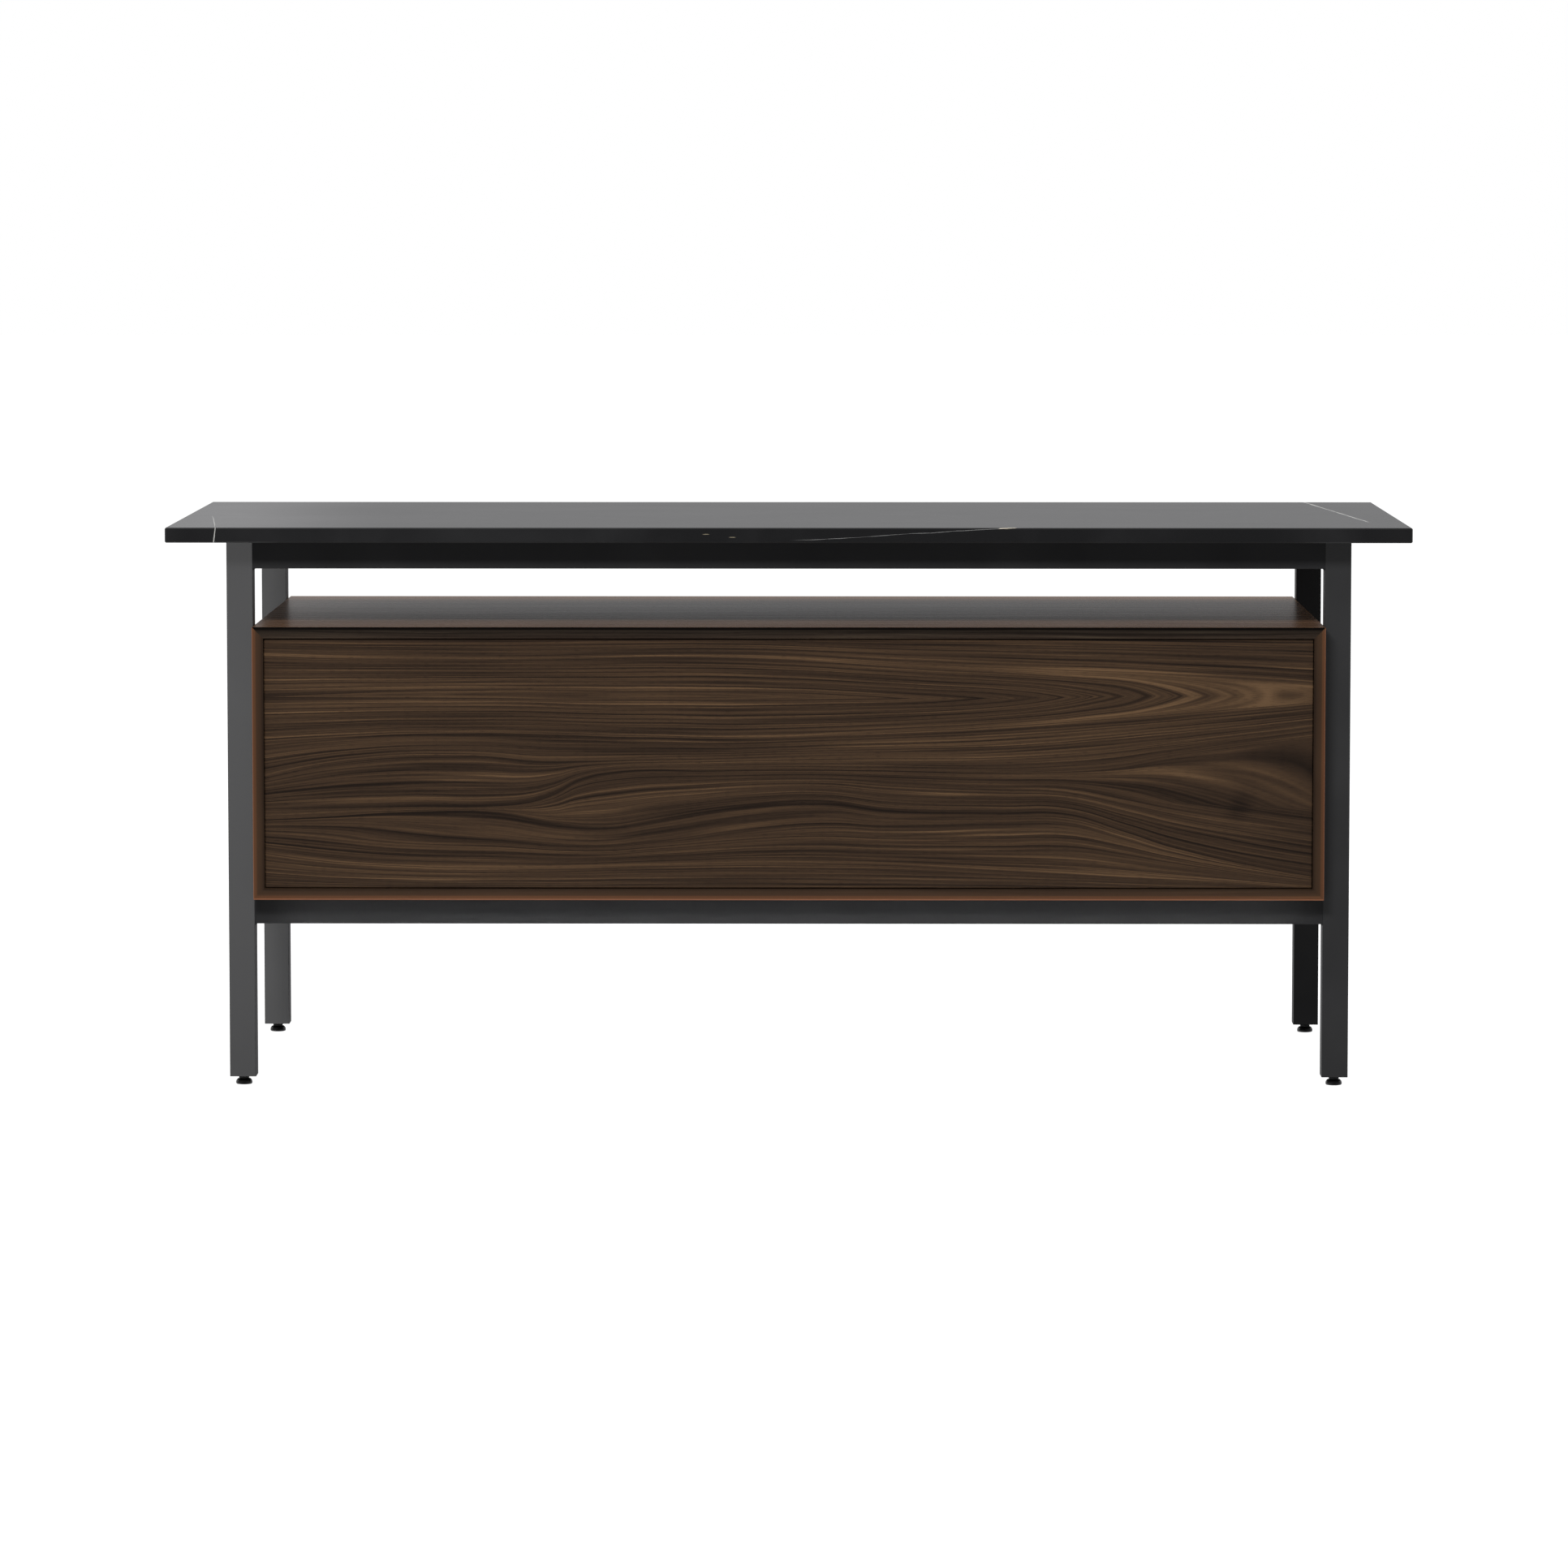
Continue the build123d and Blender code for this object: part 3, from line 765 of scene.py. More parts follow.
    def bulge(self, tree: Tree, figure: Figure, place: Socket, moved: Socket) -> Socket:
        """Adds a bell-shaped hill round one figure.

        Args:
            tree: The material's node tree.
            figure: Where the hill is, and how high.
            place: The place on the leaf.
            moved: The value so far, a place across the grain or a tone.

        Returns:
            The value with the hill.
        """
        near = add_node(
            tree,
            "Mapping",
            {"Vector": place, "Location": (figure.along, figure.across, self.seed),
             "Rotation": (0.0, 0.0, math.radians(figure.turn)),
             "Scale": (figure.half_length, figure.half_width, 1.0)},
            vector_type="TEXTURE",
        )
        square = add_node(tree, "VectorMath", {0: near, 1: near}, "Value", operation="DOT_PRODUCT")
        fall = add_node(tree, "Math", {0: square, 1: -1.0}, operation="MULTIPLY")
        hill = add_node(tree, "Math", {0: fall}, operation="EXPONENT")
        return add_node(tree, "Math", {0: hill, 1: figure.lift, 2: moved}, operation="MULTIPLY_ADD")

    def tone(self, tree: Tree, along: Socket, ring: Socket) -> Socket:
        """Turns the ring count to a lightness: broad bands, streaks, thin lines and dark latewood.

        Args:
            tree: The material's node tree.
            along: The place along the grain.
            ring: The ring count.

        Returns:
            A lightness round the middle tone.
        """
        tone: Any = MIDDLE_TONE
        for number, (long_scale, ring_scale, amount) in enumerate(STREAKS):
            seed = self.seed + 3.1 * number
            noise = self.streaks(tree, along, ring, long_scale, ring_scale, seed)
            noise = add_node(tree, "Math", {0: noise, 1: 0.5}, operation="SUBTRACT")
            tone = add_node(tree, "Math", {0: noise, 1: amount, 2: tone}, operation="MULTIPLY_ADD")
        for number, (low, high, amount) in enumerate(THIN_LINES):
            noise = self.streaks(tree, along, ring, 1.1, 2.3, self.seed + 20.0 + number)
            line = add_node(
                tree, "MapRange", {"Value": noise, "From Min": low, "From Max": high},
                interpolation_type="SMOOTHSTEP",
            )
            tone = add_node(tree, "Math", {0: line, 1: amount, 2: tone}, operation="MULTIPLY_ADD")
        for count, width, amount in self.accents:
            away = add_node(tree, "Math", {0: ring, 1: count}, operation="SUBTRACT")
            away = add_node(tree, "Math", {0: away}, operation="ABSOLUTE")
            line = add_node(
                tree, "MapRange", {"Value": away, "From Min": width, "From Max": 0.3 * width},
                interpolation_type="SMOOTHSTEP",
            )
            tone = add_node(tree, "Math", {0: line, 1: amount, 2: tone}, operation="MULTIPLY_ADD")
        part = add_node(tree, "Math", {0: ring}, operation="FRACT")
        late = add_node(
            tree,
            "MapRange",
            {"Value": part, "From Min": 0.72, "From Max": 0.95},
            interpolation_type="SMOOTHSTEP",
        )
        back = add_node(tree, "MapRange", {"Value": part, "From Min": 1.0, "From Max": 0.95})
        late = add_node(tree, "Math", {0: late, 1: back}, operation="MULTIPLY")
        return add_node(
            tree, "Math", {0: late, 1: -LATEWOOD_DARKENS, 2: tone}, operation="MULTIPLY_ADD"
        )

    def streaks(
        self,
        tree: Tree,
        along: Socket,
        ring: Socket,
        long_scale: float,
        ring_scale: float,
        seed: float,
    ) -> Socket:
        """Noise that is long along the grain and follows the rings.

        Args:
            tree: The material's node tree.
            along: The place along the grain.
            ring: The ring count.
            long_scale: Features per metre along the grain.
            ring_scale: Features per ring across it.
            seed: Where the noise is read.

        Returns:
            A value round 0.5.
        """
        place = add_node(tree, "CombineXYZ", {"X": along, "Y": ring, "Z": seed})
        scaled = add_node(
            tree, "VectorMath", {0: place, 1: (long_scale, ring_scale, 1.0)}, operation="MULTIPLY"
        )
        return add_node(tree, "TexNoise", {"Vector": scaled, "Scale": 1.0, "Detail": 1.0})

    def pores(self, tree: Tree, along: Socket, across: Socket) -> Socket:
        """Scatters the open pores, as dashes along the grain.

        Args:
            tree: The material's node tree.
            along: The place along the grain.
            across: The place across the grain.

        Returns:
            1 in a pore and 0 between them.
        """
        place = add_node(tree, "CombineXYZ", {"X": along, "Y": across, "Z": self.seed})
        scaled = add_node(
            tree, "VectorMath", {0: place, 1: (*PORES, 1.0)}, operation="MULTIPLY"
        )
        noise = add_node(tree, "TexNoise", {"Vector": scaled, "Scale": 1.0, "Detail": 0.0})
        return add_node(
            tree,
            "MapRange",
            {"Value": noise, "From Min": 0.58, "From Max": 0.72},
            interpolation_type="SMOOTHSTEP",
        )


@dataclass(frozen=True)
class SolidWood(Finish):
    """Planed and oiled solid timber or ply.

    The eye sees straight growth lines and short pores on pale, dry-looking wood.
    """

    light: str = "#c3aa84"
    dark: str = "#a1865d"
    ring_mm: float = 3.5
    long_axis: str = "Y"

    def surface(self, tree: Tree) -> Socket:
        """Builds straight growth lines along one axis, with fine pores in them.

        Args:
            tree: The material's empty node tree.

        Returns:
            The shader's output socket.
        """
        rings = drawn_out(tree, self.long_axis, 1 / (self.ring_mm * MM), 2.2)
        lines = add_node(tree, "TexNoise", {"Vector": rings, "Scale": 0.6, "Detail": 3.0})
        fine = drawn_out(tree, self.long_axis, 1500.0, 90.0)
        pores = add_node(tree, "TexNoise", {"Vector": fine, "Scale": 1.0, "Detail": 0.0})
        pores = add_node(tree, "MapRange", {"Value": pores, "From Min": 0.6, "From Max": 0.75})
        tone = add_node(tree, "Math", {0: pores, 1: -0.18, 2: lines}, operation="MULTIPLY_ADD")
        colour = add_node(
            tree, "ValToRGB", {"Fac": tone}, stops=[(0.3, self.dark), (0.62, self.light)]
        )
        bump = add_node(
            tree, "Bump", {"Height": pores, "Strength": 0.2, "Distance": 0.06 * MM}, invert=True
        )
        return add_node(
            tree,
            "BsdfPrincipled",
            {"Base Color": colour, "Roughness": 0.5, "Normal": bump, "Specular IOR Level": 0.4},
        )


@dataclass(frozen=True)
class PlatedSteel(Finish):
    """Cold-rolled steel with zinc plating.

    The eye sees pale grey metal, whose highlights are drawn out by fine lines along the strip.
    """

    colour: str = "#b9bbbd"
    roughness: float = 0.33
    long_axis: str = "Y"

    def surface(self, tree: Tree) -> Socket:
        """Builds the metal, with lines about 0.3 mm apart along the strip.

        Args:
            tree: The material's empty node tree.

        Returns:
            The shader's output socket.
        """
        scaled = drawn_out(tree, self.long_axis, 3000.0, 25.0)
        lines = add_node(tree, "TexNoise", {"Vector": scaled, "Scale": 1.0, "Detail": 1.0})
        rough = add_node(
            tree,
            "MapRange",
            {"Value": lines, "To Min": self.roughness - 0.1, "To Max": self.roughness + 0.12},
        )
        bump = add_node(tree, "Bump", {"Height": lines, "Strength": 0.15, "Distance": 0.01 * MM})
        return add_node(
            tree,
            "BsdfPrincipled",
            {"Base Color": linear(self.colour), "Metallic": 1.0, "Roughness": rough,
             "Normal": bump},
        )


@dataclass(frozen=True)
class MouldedNylon(Finish):
    """Black nylon, injection-moulded in a spark-eroded mould.

    The eye sees one even black with a soft gloss and a fine grain in it.
    """

    colour: str = "#101011"
    roughness: float = 0.3
    grain_mm: float = 0.6

    def surface(self, tree: Tree) -> Socket:
        """Builds the moulded surface.

        Args:
            tree: The material's empty node tree.

        Returns:
            The shader's output socket.
        """
        place = add_node(tree, "TexCoord", output="Object")
        grain = add_node(
            tree, "TexNoise", {"Vector": place, "Scale": 1 / (self.grain_mm * MM), "Detail": 2.0}
        )
        rough = add_node(
            tree,
            "MapRange",
            {"Value": grain, "To Min": self.roughness - 0.06, "To Max": self.roughness + 0.08},
        )
        bump = add_node(tree, "Bump", {"Height": grain, "Strength": 0.15, "Distance": 0.03 * MM})
        return add_node(
            tree,
            "BsdfPrincipled",
            {"Base Color": linear(self.colour), "Roughness": rough, "Normal": bump},
        )


@dataclass(frozen=True)
class StudioFloor(Finish):
    """A plain white floor, lit from within, on which only the closest shadows show."""

    colour: str = "#8a8a8a"
    glow: float = 0.96

    def surface(self, tree: Tree) -> Socket:
        """Builds the glowing paint."""
        return add_node(
            tree,
            "BsdfPrincipled",
            {"Base Color": linear(self.colour), "Roughness": 0.9, "Specular IOR Level": 0.0,
             "Emission Color": linear("#ffffff"), "Emission Strength": self.glow},
        )


# Powder on the tubes: a soft black sheen, a little uneven, that mirrors nothing sharply.
FRAME_COAT = PowderCoat("powder_coated_steel_tube")

# The same powder on the pulls' bent strip: darker and a little glossier, over a smoother sheet.
PULL_COAT = PowderCoat(
    "powder_coated_steel_strip", colour="#18181a", worn="#202022", roughness=0.36
)

# Black oxide on the bolts: a thin, oily black with the steel's own fine roughness in it.
BLACK_BOLT = PowderCoat(
    "black_oxide_steel", colour="#222224", worn="#333336", roughness=0.34, peel_mm=0.5
)

# Nylon of the feet: a deep black, with a soft highlight round each turned rim.
FOOT_NYLON = MouldedNylon("moulded_nylon_foot", colour="#0d0d0e", roughness=0.22)

# Nylon of the plugs: duller, so that they go unnoticed beside the coated tube.
PLUG_NYLON = MouldedNylon("moulded_nylon_plug", roughness=0.42)

# Rubber of the pads: a dull black with hardly a highlight.
PAD_RUBBER = MouldedNylon("moulded_rubber_pad", colour="#151515", roughness=0.7, grain_mm=0.9)

# Zinc on the runners: pale, clean grey with highlights drawn out along the members.
RUNNER_ZINC = PlatedSteel("zinc_plated_rolled_steel", colour="#d3d5d6")

# Zinc on the screws: a faint straw tint, and brighter from being turned.
SCREW_ZINC = PlatedSteel(
    "zinc_plated_turned_steel", colour="#c3c2b8", roughness=0.28, long_axis="Z"
)

# Ground and polished balls: bright points.
BALL_STEEL = PlatedSteel("polished_bearing_steel", colour="#c8cacc", roughness=0.14)

# Oak of the drawer boxes: pale straw, with its lines along the sides and across the back.
DRAWER_OAK = SolidWood("planed_oak")
BACK_OAK = SolidWood("planed_oak_crosswise", long_axis="X")

# Birch ply of the bottoms: paler and calmer, with wide, faint lines.
BIRCH_PLY = SolidWood(
    "sanded_birch_ply", light="#dcc29a", dark="#c4a576", ring_mm=9.0, long_axis="X"
)

# Beech of the dowels: a pinkish brown.
BEECH = SolidWood("turned_beech", light="#d3a878", dark="#b98a5b", long_axis="Z")


# Modelling helpers


def begin() -> None:
    """Leaves nothing selected, as every new piece starts."""
    if bpy.context.object and bpy.context.object.mode != "OBJECT":
        bpy.ops.object.mode_set(mode="OBJECT")
    bpy.ops.object.select_all(action="DESELECT")


def pick(piece: Piece, test: Callable[[Any], bool], kind: str = "FACE") -> None:
    """Selects the parts of a piece in edit mode that pass a test.

    Args:
        piece: The piece being edited.
        test: Says whether a face, edge or vertex is wanted.
        kind: "FACE", "EDGE" or "VERT".
    """
    bpy.ops.mesh.select_mode(type=kind)
    bpy.ops.mesh.select_all(action="DESELECT")
    shape = bmesh.from_edit_mesh(piece.data)
    parts = {"FACE": shape.faces, "EDGE": shape.edges, "VERT": shape.verts}[kind]
    for part in parts:
        if test(part):
            part.select = True
    shape.select_flush_mode()
    bmesh.update_edit_mesh(piece.data)


def copy_at(piece: Piece, name: str, place: Matrix) -> Piece:
    """Copies a piece with its own mesh, moved by a matrix.

    Args:
        piece: The piece to copy.
        name: The copy's name.
        place: The move.

    Returns:
        The copy.
    """
    made = piece.copy()
    made.data = piece.data.copy()
    made.name = name
    made.data.name = name
    made.data.transform(place)
    bpy.context.scene.collection.objects.link(made)
    return made


def join(pieces: Sequence[Piece], name: str) -> Piece:
    """Joins pieces to one, under one name.

    Args:
        pieces: The pieces, which the joined one takes in.
        name: The joined piece's name.

    Returns:
        The joined piece.
    """
    begin()
    for piece in pieces:
        piece.select_set(True)
    bpy.context.view_layer.objects.active = pieces[0]
    bpy.ops.object.join()
    made = bpy.context.object
    made.name = name
    made.data.name = name
    return made


def complete(
    piece: Piece, body: str, finish: Finish, angle: float = 35.0
) -> Piece:
    """Finishes a new piece: closed, facing outwards, smooth, dressed and riding on its body.

    Args:
        piece: The piece.
        body: The CAD body that it moves with.
        finish: What it is made of.
        angle: Edges sharper than this many degrees stay sharp.

    Returns:
        The same piece.
    """
    begin()
    piece.select_set(True)
    bpy.context.view_layer.objects.active = piece
    bpy.ops.object.transform_apply(location=True, rotation=True, scale=True)
    bpy.ops.object.mode_set(mode="EDIT")
    bpy.ops.mesh.select_all(action="SELECT")
    bpy.ops.mesh.remove_doubles(threshold=0.002 * MM)
    bpy.ops.mesh.normals_make_consistent(inside=False)
    bpy.ops.object.mode_set(mode="OBJECT")
    bpy.ops.object.shade_smooth_by_angle(angle=math.radians(angle))
    piece.data.materials.clear()
    piece.data.materials.append(finish.material())
    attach(piece, body)
    log.info("%s: %d faces, on %s", piece.name, len(piece.data.polygons), body)
    return piece


def turned(name: str, profile: Sequence[tuple[float, float]], sides: int = 48) -> Piece:
    """Turns a solid about Z by extruding a disc up through a profile.

    Args:
        name: The piece's name.
        profile: Radius and height of each ring, from the bottom up, in millimetres.
        sides: Vertices round the disc.

    Returns:
        The piece, at the origin.
    """
    begin()
    radius, height = profile[0]
    bpy.ops.mesh.primitive_circle_add(
        vertices=sides, radius=radius * MM, fill_type="NGON", location=(0, 0, height * MM)
    )
    made = bpy.context.object
    made.name = name
    made.data.name = name
    bpy.ops.object.transform_apply(location=True, rotation=True, scale=True)
    bpy.ops.object.mode_set(mode="EDIT")
    bpy.ops.mesh.select_mode(type="FACE")
    bpy.ops.mesh.select_all(action="SELECT")
    for next_radius, next_height in profile[1:]:
        bpy.ops.mesh.extrude_region_move(
            TRANSFORM_OT_translate={"value": (0, 0, (next_height - height) * MM)}
        )
        share = next_radius / radius
        bpy.ops.transform.resize(
            value=(share, share, 1), center_override=(0, 0, next_height * MM)
        )
        radius, height = next_radius, next_height
    bpy.ops.object.mode_set(mode="OBJECT")
    return made


def dress(nodes: Sequence[str], finish: Finish) -> None:
    """Gives CAD nodes a finish in place of their plain one.

    Args:
        nodes: The nodes' names.
        finish: What they are made of.
    """
    for name in nodes:
        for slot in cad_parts[name].material_slots:
            slot.material = finish.material()
    log.info("%s: %s", finish.name, ", ".join(nodes))


# Sub-assemblies


@dataclass
class StoneTop:
    """The marble slab and the pads that it lies on."""

    low: Vector = field(default_factory=lambda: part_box("marble_top")[0])
    high: Vector = field(default_factory=lambda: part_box("marble_top")[1])

    def veins(self) -> tuple[Vein, ...]:
        """Places the veins that show from the slab's middle and its visitor's edge.

        Returns:
            The veins.
        """
        top, front = self.high.z, self.low.y
        return (
            Vein(
                (-0.758, front, top), (1.0, 0.1, -0.12), (-0.758, front + 0.1, top), 0.22, 1.1,
                4.0,
            ),
            Vein(
                (0.295, front, top), (-0.06, 0.075, 1.0), (0.17, front, top - 0.01), 0.17, 0.45,
                6.0, colour="#8f8f8e",
            ),
            Vein(
                (0.290, front, top), (-0.06, 0.3, 1.0), (0.290, front, top), 0.013, 1.2, 3.0,
                colour="#e6dcc8",
            ),
            Vein(
                (0.752, 0.09, top), (1.0, 0.09, 0.2), (0.752, 0.085, top), 0.32, 2.2, 5.0,
                colour="#dddcd8",
            ),
            Vein(
                (-0.3, 0.2, top), (0.55, 1.0, 0.3), (-0.25, 0.17, top), 0.2, 0.6, 26.0,
                colour="#55565a", strength=0.5,
            ),
            Vein(
                (0.45, 0.25, top), (-0.35, 1.0, 0.4), (0.5, 0.27, top), 0.24, 0.7, 24.0,
                colour="#5c5c60", strength=0.5,
            ),
        )

    def build(self) -> None:
        """Dresses the slab and its pads."""
        front, top = self.low.y, self.high.z
        stone = PolishedMarble(
            "polished_black_marble",
            veins=self.veins(),
            flecks=(
                (-0.109, front, top - 0.0085),
                (-0.074, front, top - 0.0125),
                (0.472, front, top - 0.0195),
                (0.289, front, top - 0.001),
            ),
        )
        dress(["marble_top"], stone)
        dress(["top_pads"], PAD_RUBBER)


@dataclass
class SteelFrame:
    """The square-tube frame, with its welds, its bolts and the plugs in its access holes."""

    tube: float = 35 * MM
    bead_length: float = 31 * MM
    bead_radius: float = 2.2 * MM
    ripples: int = 11
    valley: float = 0.84
    bead_end: float = 0.6
    screw_inset: float = 60 * MM
    key_setback: float = 20 * MM
    stringer_y: float = -0.27
    driver_hole: float = 6.0
    key_hole: float = 8.0

    def __post_init__(self) -> None:
        """Reads the frame's places from the legs and rails."""
        low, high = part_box("leg_visitor_left")
        self.outer_x, self.outer_y = -low.x, -low.y
        self.inner_x, self.inner_y = -high.x, -high.y
        self.top = high.z
        self.rail_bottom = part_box("lower_rail_visitor")[0].z
        self.knee_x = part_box("knee_rail_right")[0].x

    def tubes(self) -> list[str]:
        """The names of the frame's tubes."""
        starts = ("leg_user", "leg_visitor", "upper_rail", "lower_rail", "knee_rail")
        return sorted(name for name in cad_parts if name.startswith(starts))

    def bead(self) -> Piece:
        """Models one weld bead along Z, a rod with a ripple for each pulse of the torch.

        Returns:
            The bead, at the origin.
        """
        begin()
        bpy.ops.mesh.primitive_cylinder_add(
            vertices=12, radius=self.bead_radius, depth=self.bead_length, end_fill_type="NGON"
        )
        made = bpy.context.object
        bpy.ops.object.mode_set(mode="EDIT")
        pick(made, lambda edge: abs(edge.verts[0].co.z - edge.verts[1].co.z) > MM, "EDGE")
        bpy.ops.mesh.subdivide(number_cuts=2 * self.ripples - 1)
        step = self.bead_length / (2 * self.ripples)
        half = self.bead_length / 2

        def in_valley(vertex: bmesh.types.BMVert) -> bool:
            """Whether a vertex is on a ring between two ripples."""
            return round((vertex.co.z + half) / step) % 2 == 0

        pick(made, in_valley, "VERT")
        bpy.ops.transform.resize(
            value=(self.valley, self.valley, 1), center_override=(0, 0, 0)
        )
        pick(made, lambda vertex: abs(abs(vertex.co.z) - half) < 0.1 * MM, "VERT")
        bpy.ops.transform.resize(
            value=(self.bead_end, self.bead_end, 1), center_override=(0, 0, 0)
        )
        bpy.ops.object.mode_set(mode="OBJECT")
        return made

    def weld_joints(self, end: int) -> list[tuple[float, float]]:
        """Finds the welded joints of one long side.

        Args:
            end: -1 for the visitor's side and 1 for the user's.

        Returns:
            The x of each joint's face, and its rail's underside.
        """
        upper = self.top - self.tube
        joints = [(side * self.inner_x, z) for side in (-1, 1) for z in (upper, self.rail_bottom)]
        if end > 0:
            joints += [(side * (self.knee_x + self.tube), self.rail_bottom) for side in (-1, 1)]
        return joints

    def welds(self) -> None:
        """Adds a bead under and behind each welded joint."""
        bead = self.bead()
        flat = Matrix.Rotation(math.pi / 2, 4, "X")
        for end, name in ((-1, "visitor"), (1, "user")):
            beads = []
            mid_y = end * (self.outer_y + self.inner_y) / 2
            for x, z in self.weld_joints(end):
                under = Matrix.Translation((x, mid_y, z))
                behind = Matrix.Translation((x, end * self.inner_y, z + self.tube / 2))
                beads += [copy_at(bead, "bead", under @ flat), copy_at(bead, "bead", behind)]
            welded = join(beads, f"weld_beads_{name}")
            complete(welded, "desk", FRAME_COAT, 50)
        bpy.data.objects.remove(bead)

    def hole_plug(self, radius: float) -> Piece:
        """Models a domed plug that closes an access hole from below, with its rim under the rail.

        Args:
            radius: The hole's radius in millimetres.

        Returns:
            The plug, at the origin.
        """
        rim = radius + 1.2
        return turned(
            "hole_plug",
            [(rim * 0.55, -1.3), (rim * 0.85, -1.05), (rim, -0.45), (rim, 0.0), (radius - 0.1, 0.0),
             (radius - 0.1, 2.0), (radius - 0.6, 3.2), (radius * 0.5, 3.2)],
            32,
        )

    def plugs(self) -> None:
        """Adds the plugs of the driver's holes and of the hexagon key's holes."""
        middle_x = (self.outer_x + self.inner_x) / 2
        middle_y = (self.outer_y + self.inner_y) / 2
        knee_middle = self.knee_x + self.tube / 2
        inset, setback = self.screw_inset, self.key_setback
        upper = self.top - self.tube
        reach = self.inner_x - inset
        places = [(reach * share, -middle_y, self.rail_bottom) for share in (-1, -1 / 3, 1 / 3, 1)]
        for side in (-1, 1):
            places += [
                (side * knee_middle, self.stringer_y + inset, self.rail_bottom),
                (side * knee_middle, self.inner_y - inset, self.rail_bottom),
                (side * (self.knee_x + self.tube + inset), middle_y, self.rail_bottom),
                (side * reach, middle_y, self.rail_bottom),
            ]
        self.plug_set(self.driver_hole, places, "screw_hole_plugs")
        places = [
            (side * middle_x, end * (self.inner_y - setback), z)
            for side in (-1, 1)
            for end in (-1, 1)
            for z in (upper, self.rail_bottom)
        ]
        places += [
            (side * knee_middle, setback - self.inner_y, self.rail_bottom) for side in (-1, 1)
        ]
        self.plug_set(self.key_hole, places, "bolt_hole_plugs")

    def plug_set(self, radius: float, places: Sequence[Point], name: str) -> None:
        """Copies one plug to all the holes of its size.

        Args:
            radius: The holes' radius in millimetres.
            places: The middle of each hole, at the rail's underside.
            name: The joined plugs' name.
        """
        plug = self.hole_plug(radius)
        copies = [copy_at(plug, name, Matrix.Translation(place)) for place in places]
        bpy.data.objects.remove(plug)
        complete(join(copies, name), "desk", PLUG_NYLON)

    def build(self) -> None:
        """Dresses the frame and adds its welds and plugs."""
        dress(self.tubes(), FRAME_COAT)
        dress(["frame_bolts"], BLACK_BOLT)
        dress(["leg_plugs"], PLUG_NYLON)
        self.welds()
        self.plugs()


@dataclass
class LevellingFeet:
    """The four feet: a flared pad, a hexagon collar for a spanner, and a threaded stud."""

    pad: tuple[tuple[float, float], ...] = (
        (8.9, 0.0), (10.1, 0.25), (10.8, 1.1), (11.0, 2.4), (10.8, 4.2), (9.9, 6.0), (8.6, 7.2),
        (6.8, 7.9), (4.4, 8.2),
    )
    collar_radius: float = 7.6
    collar_heights: tuple[float, float] = (8.0, 10.4)
    core: float = 3.45
    crest: float = 3.88
    pitch: float = 1.25
    stud_top: float = 38.0

    def stud_profile(self) -> list[tuple[float, float]]:
        """Lists the rings of the stud, where each pitch of the thread is a ridge.

        Returns:
            Radius and height of each ring, from the bottom up.
        """
        rings = [(self.core, self.collar_heights[1] - 0.4)]
        turns = int((self.stud_top - self.collar_heights[1] - 1) / self.pitch)
        for turn in range(turns):
            foot = self.collar_heights[1] + turn * self.pitch
            rings += [
                (self.core, foot),
                (self.crest, foot + 0.45 * self.pitch),
                (self.crest, foot + 0.6 * self.pitch),
            ]
        return rings + [(self.core, self.stud_top - 0.6), (2.6, self.stud_top)]

    def collar(self) -> Piece:
        """Models the hexagon collar, with its corners rounded off.

        Returns:
            The collar, round Z at its own height.
        """
        begin()
        low, high = (z * MM for z in self.collar_heights)
        bpy.ops.mesh.primitive_cylinder_add(
            vertices=6,
            radius=self.collar_radius * MM,
            depth=high - low,
            location=(0, 0, (low + high) / 2),
        )
        made = bpy.context.object
        bpy.ops.object.transform_apply(location=True, rotation=True, scale=True)
        bpy.ops.object.mode_set(mode="EDIT")
        bpy.ops.mesh.select_all(action="SELECT")
        bpy.ops.mesh.bevel(offset=0.45 * MM, segments=3, affect="EDGES")
        bpy.ops.object.mode_set(mode="OBJECT")
        return made

    def build(self) -> None:
        """Makes one foot and copies it to each leg."""
        parts = [turned("pad", self.pad), self.collar(), turned("stud", self.stud_profile(), 32)]
        foot = join(parts, "foot")
        for end in ("visitor", "user"):
            for side in ("left", "right"):
                node = f"levelling_foot_{end}_{side}"
                low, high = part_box(node)
                middle = (low + high) / 2
                place = Matrix.Translation((middle.x, middle.y, low.z))
                piece = copy_at(foot, f"turned_foot_{end}_{side}", place)
                complete(piece, f"foot_{end}_{side}", FOOT_NYLON)
                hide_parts(node)
        bpy.data.objects.remove(foot)


